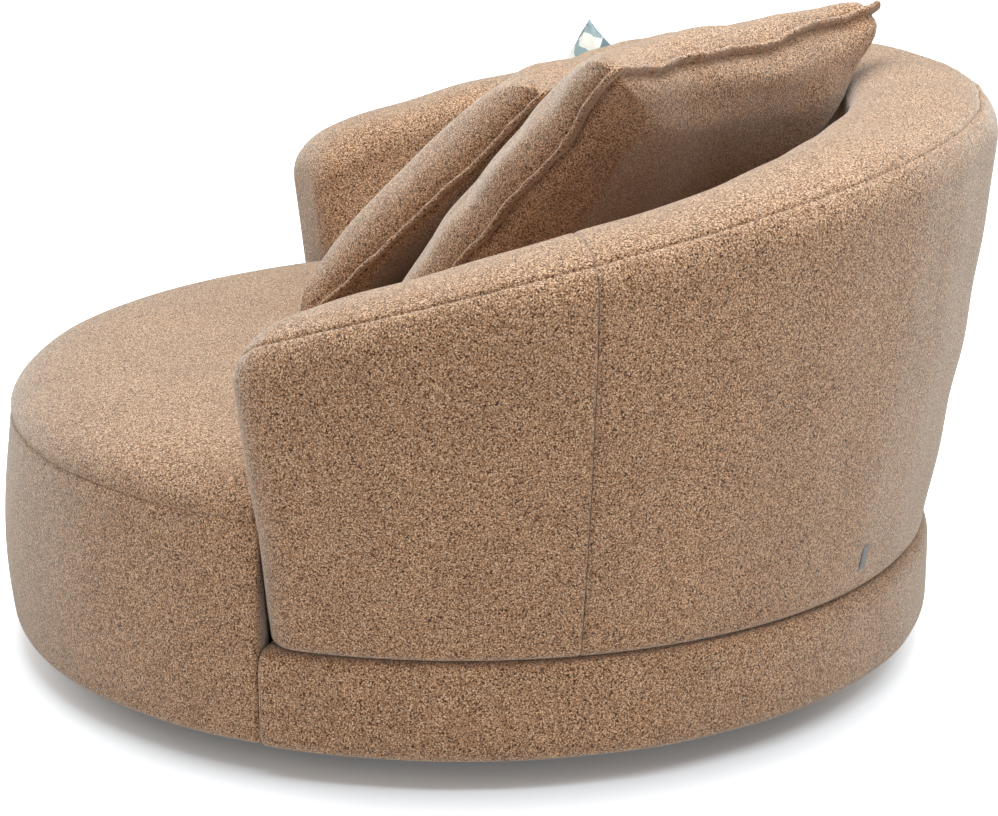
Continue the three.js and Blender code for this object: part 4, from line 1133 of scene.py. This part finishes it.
class CHAIR_OT_small_cushion(PieceOperator, bpy.types.Operator):
    """Adds the small patterned cushion behind the far one"""

    bl_idname = "chair.small_cushion"
    bl_label = "Small cushion"

    def execute(self, context):
        c = context.scene.chair_small_cushion
        lip, c.flange = c.flange, c.edge_thickness
        pad = pillow_mesh("small_cushion", c, steps=41, shrink=0.002)
        inflate(pad, c, voxel=0.0045, pressure=3.0, cap=0.006)
        soften(pad, c, seed=171)
        c.flange = lip
        place_cushion((pad,), c, "scatter_cushion_cover")
        self.finish_piece(pad, "scatter_cushion", "scatter_cloth",
                          cushion_nodes("scatter_cushion"), printed_cloth(), 0.7)
        return {"FINISHED"}


class CHAIR_OT_stitches(PieceOperator, bpy.types.Operator):
    """Adds the rows of thread along the wall's crown seam and upright seams"""

    bl_idname = "chair.stitches"
    bl_label = "Seam stitches"

    def execute(self, context):
        s, seat = context.scene.chair_wall, context.scene.chair_seat
        rows = [crown_stitches(s, seat)]
        rows += [upright_stitches(s, seat, side) for side in (1, -1)]
        centres, along, out = (np.vstack([row[k] for row in rows]) for k in range(3))
        obj = thread_mesh("wall_stitching", centres, along, out)
        material, tree, shader, where = plain_material("stitching_thread")
        noise = add_node(tree, "TexNoise", {"Vector": where, "Scale": 600.0})
        tone = colour_mix(tree, "MIX", noise.outputs["Fac"], (0.10, 0.065, 0.042),
                          (0.20, 0.13, 0.085))
        tree.links.new(tone, shader.inputs["Base Color"])
        set_sockets(shader, {"Roughness": 0.7})
        obj.data.materials.append(material)
        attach(obj, "seat")
        return {"FINISHED"}


def evenly(points, spacing):
    """Points of a polyline at equal spacing, with the direction at each."""
    step = np.linalg.norm(np.diff(points, axis=0), axis=1)
    along = np.concatenate([[0.0], np.cumsum(step)])
    wanted = np.arange(spacing / 2, along[-1], spacing)
    centre, ahead = (np.stack([np.interp(way, along, points[:, k]) for k in range(3)], axis=-1)
                     for way in (wanted, wanted + spacing / 4))
    direction = ahead - centre
    return centre, direction / (np.linalg.norm(direction, axis=1, keepdims=True) + 1e-12)


def crown_stitches(s, seat):
    """Places, directions and outward directions along the seam near the crown's outer edge."""
    end = s.half_angle - s.end_round / middle_radius(s)
    angle = np.linspace(-end, end, 900)
    points = wall_points(s, seat, angle, 0 * angle)
    column = wall_section(s, seat, angle, 0 * angle)[3]
    centre, direction = evenly(points[:, column], STITCH_STEP)
    flat = to_length(centre * np.array([1, 1, 0.0]))
    outwards, upwards = 0.75, 0.66  # parts of the crown's own direction at the seam
    return centre, direction, to_length(flat * outwards + np.array([0, 0, upwards]))


def upright_stitches(s, seat, side):
    """The same, down an upright seam on the wall's outer face, on the back panel's edge."""
    from_edge = 0.004
    angle = np.array([side * (s.seam_angle - from_edge / middle_radius(s))])
    inset = edge_inset(np.array([from_edge]), PANEL_EDGE_ROUND)
    points = wall_points(s, seat, angle, inset)[0]
    column = wall_section(s, seat, angle, 0 * angle)[3]
    centre, direction = evenly(points[HEEL_COLUMNS:column], STITCH_STEP)
    return centre, direction, to_length(centre * np.array([1, 1, 0.0]))


def thread_mesh(name, centres, along, out):
    """Many short stitches at once: each a bent six-sided rod whose ends dip into the cloth."""
    cross = np.cross(along, out)
    t = np.linspace(-1, 1, 5)
    turn = np.linspace(0, 2 * np.pi, 7)[:-1]
    thick = THREAD_RADIUS * np.sqrt(clamp(1.04 - t ** 2, 0.04))
    lengthwise = STITCH_HALF * t[None, :, None, None] * along[:, None, None, :]
    arch = (0.0005 * (1 - 2.2 * t ** 2))[None, :, None, None] * out[:, None, None, :]
    ring = (np.cos(turn)[None, None, :, None] * cross[:, None, None, :]
            + np.sin(turn)[None, None, :, None] * out[:, None, None, :])
    ring = ring * thick[None, :, None, None]
    points = centres[:, None, None, :] + lengthwise + arch + ring
    count, rows, cols = points.shape[:3]
    i = np.arange(rows - 1)[:, None] * cols
    j = np.arange(cols)[None, :]
    a, b = i + j, i + (j + 1) % cols
    quads = np.stack([a, b, b + cols, a + cols], axis=-1).reshape(-1, 4)
    base = (np.arange(count) * rows * cols)[:, None, None]
    quads = (quads[None] + base).reshape(-1, 4)
    head = np.stack([[0, 2, 1], [0, 3, 2], [0, 4, 3], [0, 5, 4]])
    tail = head[:, ::-1] + (rows - 1) * cols
    tris = (np.vstack([head, tail])[None] + base).reshape(-1, 3)
    return mesh_from_faces(name, points.reshape(-1, 3), quads, tris)


def node_material(name, pale, dark, scale, rough, metal=0.0, stretch=(1, 1, 1)):
    """A finish for hidden pieces: two tones mixed by stretched noise, with a fine bump."""
    material, tree, shader, where = plain_material(name)
    mapping = add_node(tree, "Mapping", {"Vector": where, "Scale": stretch})
    noise = add_node(tree, "TexNoise", {"Vector": mapping.outputs[0], "Scale": scale,
                                        "Detail": 5.0})
    tree.links.new(colour_mix(tree, "MIX", noise.outputs["Fac"], dark, pale),
                   shader.inputs["Base Color"])
    set_sockets(shader, {"Roughness": rough, "Metallic": metal})
    bump_into(tree, shader, noise.outputs["Fac"], 0.0003, 0.5)
    return material


class CHAIR_OT_finishes(PieceOperator, bpy.types.Operator):
    """Gives the frame's own pieces their wood, metal, plastic and lining finishes"""

    bl_idname = "chair.finishes"
    bl_label = "Frame finishes"

    def execute(self, context):
        looks = {
            "plywood": node_material("birch_plywood", (0.62, 0.43, 0.24), (0.46, 0.29, 0.15),
                                     14.0, 0.6, stretch=(1, 1, 9)),
            "beech": node_material("sawn_beech", (0.64, 0.44, 0.28), (0.50, 0.32, 0.19), 20.0,
                                   0.65, stretch=(5, 5, 0.6)),
            "fibreboard": node_material("hardboard", (0.34, 0.20, 0.11), (0.25, 0.14, 0.07),
                                        60.0, 0.8),
            "zinc_steel": node_material("zinc_steel", (0.50, 0.51, 0.53), (0.36, 0.37, 0.39),
                                        30.0, 0.35, metal=1.0),
            "black_plastic": node_material("glide_plastic", (0.025, 0.025, 0.027),
                                           (0.014, 0.014, 0.015), 80.0, 0.5),
            "black_cloth": node_material("dust_cloth", (0.03, 0.03, 0.03), (0.012, 0.012, 0.012),
                                         260.0, 0.95),
            "webbing": node_material("elastic_webbing", (0.22, 0.16, 0.11), (0.12, 0.085, 0.055),
                                     300.0, 0.9),
        }
        for row in frame["record"]["subparts"]:
            material = looks.get(row["material_slot"])
            if material is not None:
                mesh = frame["nodes"][row["node"]].data
                mesh.materials.clear()
                mesh.materials.append(material)
        return {"FINISHED"}


class CHAIR_OT_tab(PieceOperator, bpy.types.Operator):
    """Adds the small bare tab sewn on the back"""

    bl_idname = "chair.tab"
    bl_label = "Sewn tab"

    def execute(self, context):
        material, tree, shader, where = plain_material("grey_tape")
        wave = add_node(tree, "TexWave", {"Vector": where, "Scale": 420.0, "Distortion": 1.5},
                        bands_direction="Z")
        tone = colour_mix(tree, "MIX", wave.outputs["Fac"], (0.16, 0.15, 0.145),
                          (0.30, 0.285, 0.275))
        tree.links.new(tone, shader.inputs["Base Color"])
        set_sockets(shader, {"Roughness": 0.75})
        bump_into(tree, shader, wave.outputs["Fac"], 0.0003, 0.6)
        obj = tab_mesh("sewn_tab_face", context.scene.chair_wall, context.scene.chair_seat)
        self.finish_piece(obj, "seat", "grey_tape", ("sewn_tab",), material)
        return {"FINISHED"}


def tab_mesh(name, s, seat):
    """A small flat tab on the wall's outer face: a rectangle of angles and heights on that
    face, lifted by its thickness and a little more between its two sewn ends."""
    across, up = np.meshgrid(np.linspace(-1, 1, 9), np.linspace(-1, 1, 25), indexing="ij")
    z = s.tab_height + up * s.tab_length / 2
    turned = s.tab_angle + across * s.tab_width / 2 / s.foot_radius
    points = wall_points(s, seat, turned[:, 0], 0 * turned[:, 0])
    faces = points[:, HEEL_COLUMNS:40]  # the lower part of the outer face
    reach = np.hypot(faces[..., 0], faces[..., 1])
    radius = np.stack([np.interp(row, face[:, 2], r) for row, face, r in zip(z, faces, reach)])
    rounded = np.sqrt(clamp(1.02 - across ** 8)) * np.sqrt(clamp(1.02 - up ** 16))
    under, rim, thickness = 0.0001, 0.0002, 0.0012  # heights over the wall's face
    puff = 0.0009 * clamp(1 - (up / 0.82) ** 4)
    outer = radius + rim + thickness * rounded + puff
    inner = radius + under
    sheets = [round_the_chair(radius, turned, z) for radius in (outer, inner)]
    ring = np.concatenate([sheets[0], sheets[1][:, ::-1]], axis=1)
    return mesh_from_grid(name, ring, close_v=True, cap_u=True)


# ---------------------------------------------------------------- stage

class CHAIR_OT_stage(bpy.types.Operator):
    """Adds the pale floor, the soft lamps and the camera"""

    bl_idname = "chair.stage"
    bl_label = "Stage"

    def execute(self, context):
        scene = context.scene
        reach = 40.0
        corners = np.array([[-1, -1, 0], [1, -1, 0], [1, 1, 0], [-1, 1, 0]]) * reach
        floor = mesh_from_faces("floor", corners, np.array([[0, 1, 2, 3]]))
        floor.data.materials.append(self.floor_material())
        world = bpy.data.worlds.new("studio")
        world.use_nodes = True
        scene.world = world
        sky = world.node_tree
        back = sky.nodes["Background"]
        dim, rest = 0.37, 0.63  # the world's strength as a light, and what seen rays add
        seen = math_node(sky, "ADD", math_node(sky, "MULTIPLY", self.seen_ray(sky), rest), dim)
        back.inputs["Color"].default_value = (1, 1, 1, 1)
        sky.links.new(seen, back.inputs["Strength"])
        cool, warm = (0.82, 0.92, 1.0), (1.0, 0.94, 0.88)
        self.lamp("overhead", (0.1, 0.0, 3.2), (0.0, 0.0, 0.3), 2.6, 136.0, cool)
        self.lamp("key", (1.1, 1.95, 2.95), (0.0, 0.0, 0.4), 1.0, 30.0, cool)
        self.lamp("camera_side", (3.2, -2.4, 2.2), (0.0, 0.0, 0.4), 2.2, 18.0, warm)
        self.lamp("camera_fill", (3.6, 2.9, 0.9), (0.0, 0.0, 0.5), 2.0, 17.5, warm)
        self.camera(scene)
        scene.view_settings.view_transform = "Standard"
        return {"FINISHED"}

    def floor_material(self):
        """A matt pale floor that also glows to the camera, less so near the chair, so that it
        shows white and keeps the chair's shadow."""
        material, tree, shader, where = plain_material("pale_floor")
        set_sockets(shader, {"Base Color": (0.86, 0.86, 0.86, 1.0), "Roughness": 0.9,
                             "Specular IOR Level": 0.0})
        ahead = add_node(tree, "VectorMath", {0: where, 1: (0.15, 0.0, 0.0)},
                         operation="SUBTRACT")
        far = add_node(tree, "VectorMath", {0: ahead.outputs[0]}, operation="LENGTH")
        fade = add_node(tree, "MapRange", {"Value": far.outputs["Value"], "From Min": 0.50,
                                           "From Max": 0.80, "To Min": 0.10, "To Max": 1.0},
                        interpolation_type="SMOOTHSTEP")
        strength = math_node(tree, "MULTIPLY", self.seen_ray(tree), fade.outputs[0])
        glow = add_node(tree, "Emission", {"Strength": strength})
        both = add_node(tree, "AddShader", {0: shader.outputs[0], 1: glow.outputs[0]})
        tree.links.new(both.outputs[0], tree.nodes["Material Output"].inputs["Surface"])
        return material

    @staticmethod
    def seen_ray(tree):
        """One for camera, glossy and transmission rays, nought for the rest."""
        ray = tree.nodes.new("ShaderNodeLightPath")
        both = math_node(tree, "MAXIMUM", ray.outputs["Is Camera Ray"],
                         ray.outputs["Is Glossy Ray"])
        return math_node(tree, "MAXIMUM", both, ray.outputs["Is Transmission Ray"])

    @staticmethod
    def lamp(name, place, aim, size, power, colour):
        """A square soft lamp that faces its aim."""
        light = bpy.data.lights.new(name, "AREA")
        light.size = size
        light.energy = power
        light.color = colour
        lamp = bpy.data.objects.new(name, light)
        lamp.location = place
        lamp.rotation_euler = (Vector(aim) - Vector(place)).to_track_quat("-Z", "Y").to_euler()
        bpy.context.scene.collection.objects.link(lamp)

    @staticmethod
    def camera(scene):
        """The camera at the photograph's place, with its direction from three axes and the
        focal length that was fitted to the chair."""
        forward = Vector((-0.95789, 0.01148, -0.28691)).normalized()
        up = Vector((-0.28689, 0.00344, 0.95796)).normalized()
        right = forward.cross(up)
        matrix = Matrix((right, up, -forward)).transposed().to_4x4()
        matrix.translation = Vector((3.9589, 0.0, 1.4923))
        data = bpy.data.cameras.new("camera")
        data.sensor_fit = "HORIZONTAL"
        data.sensor_width = 36.0
        data.lens = 102.04
        data.clip_end = 200.0
        camera = bpy.data.objects.new("camera", data)
        camera.matrix_world = matrix
        scene.collection.objects.link(camera)
        scene.camera = camera


class CHAIR_PT_panel(bpy.types.Panel):
    """Lists the chair's operators and sizes in the sidebar"""

    bl_label = "Cuddle Chair"
    bl_space_type = "VIEW_3D"
    bl_region_type = "UI"
    bl_category = "Cuddle Chair"

    def draw(self, context):
        layout = self.layout
        for operator in OPERATORS:
            layout.operator(operator.bl_idname)
        for key in GROUPS:
            group = getattr(context.scene, f"chair_{key}")
            box = layout.box()
            box.label(text=key.replace("_", " ").capitalize())
            for name in group.bl_rna.properties.keys():
                if name not in ("rna_type", "name"):
                    box.prop(group, name)


OPERATORS = (CHAIR_OT_stage, CHAIR_OT_wall, CHAIR_OT_seat, CHAIR_OT_cushions,
             CHAIR_OT_small_cushion, CHAIR_OT_stitches, CHAIR_OT_finishes, CHAIR_OT_tab)
CUSHIONS = {
    "near": {"size": 0.620, "front": 0.095, "back": 0.082, "softness": 0.18, "slant": 0.16,
             "turn": 38.6 * DEG, "lean": 43.0 * DEG, "roll": -1.5 * DEG, "side_fill": 0.034,
             "ear": 0.006},
    "far": {"size": 0.560, "front": 0.084, "back": 0.034, "softness": 0.20, "slant": 0.16,
            "turn": 28.4 * DEG, "lean": 46.7 * DEG, "roll": -0.2 * DEG},
    "small": {"size": 0.280, "front": 0.027, "back": 0.028, "softness": 0.45,
              "turn": -62.9 * DEG, "lean": 2.0 * DEG, "roll": 51.9 * DEG,
              "edge_thickness": 0.0022},
}
GROUPS = {"wall": WallSizes, "seat": SeatSizes, "cloth": ClothLooks,
          **{f"{key}_cushion": CushionSizes for key in CUSHIONS}}


def register():
    """Registers every class and hangs the settings on the scene."""
    for cls in SETTINGS + OPERATORS + (CHAIR_PT_panel,):
        bpy.utils.register_class(cls)
    for key, group in GROUPS.items():
        setattr(bpy.types.Scene, f"chair_{key}", bpy.props.PointerProperty(type=group))


def unregister():
    """Takes the settings and the classes away again."""
    for key in GROUPS:
        delattr(bpy.types.Scene, f"chair_{key}")
    for cls in reversed(SETTINGS + OPERATORS + (CHAIR_PT_panel,)):
        bpy.utils.unregister_class(cls)


def main():
    """Registers the add-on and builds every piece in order."""
    register()
    for key, sizes in CUSHIONS.items():
        settings = getattr(bpy.context.scene, f"chair_{key}_cushion")
        for name, value in sizes.items():
            setattr(settings, name, value)
    bpy.ops.chair.stage()
    bpy.ops.chair.finishes()
    bpy.ops.chair.wall()
    bpy.ops.chair.stitches()
    bpy.ops.chair.seat()
    bpy.ops.chair.cushions()
    bpy.ops.chair.small_cushion()
    bpy.ops.chair.tab()


if __name__ == "__main__":
    main()
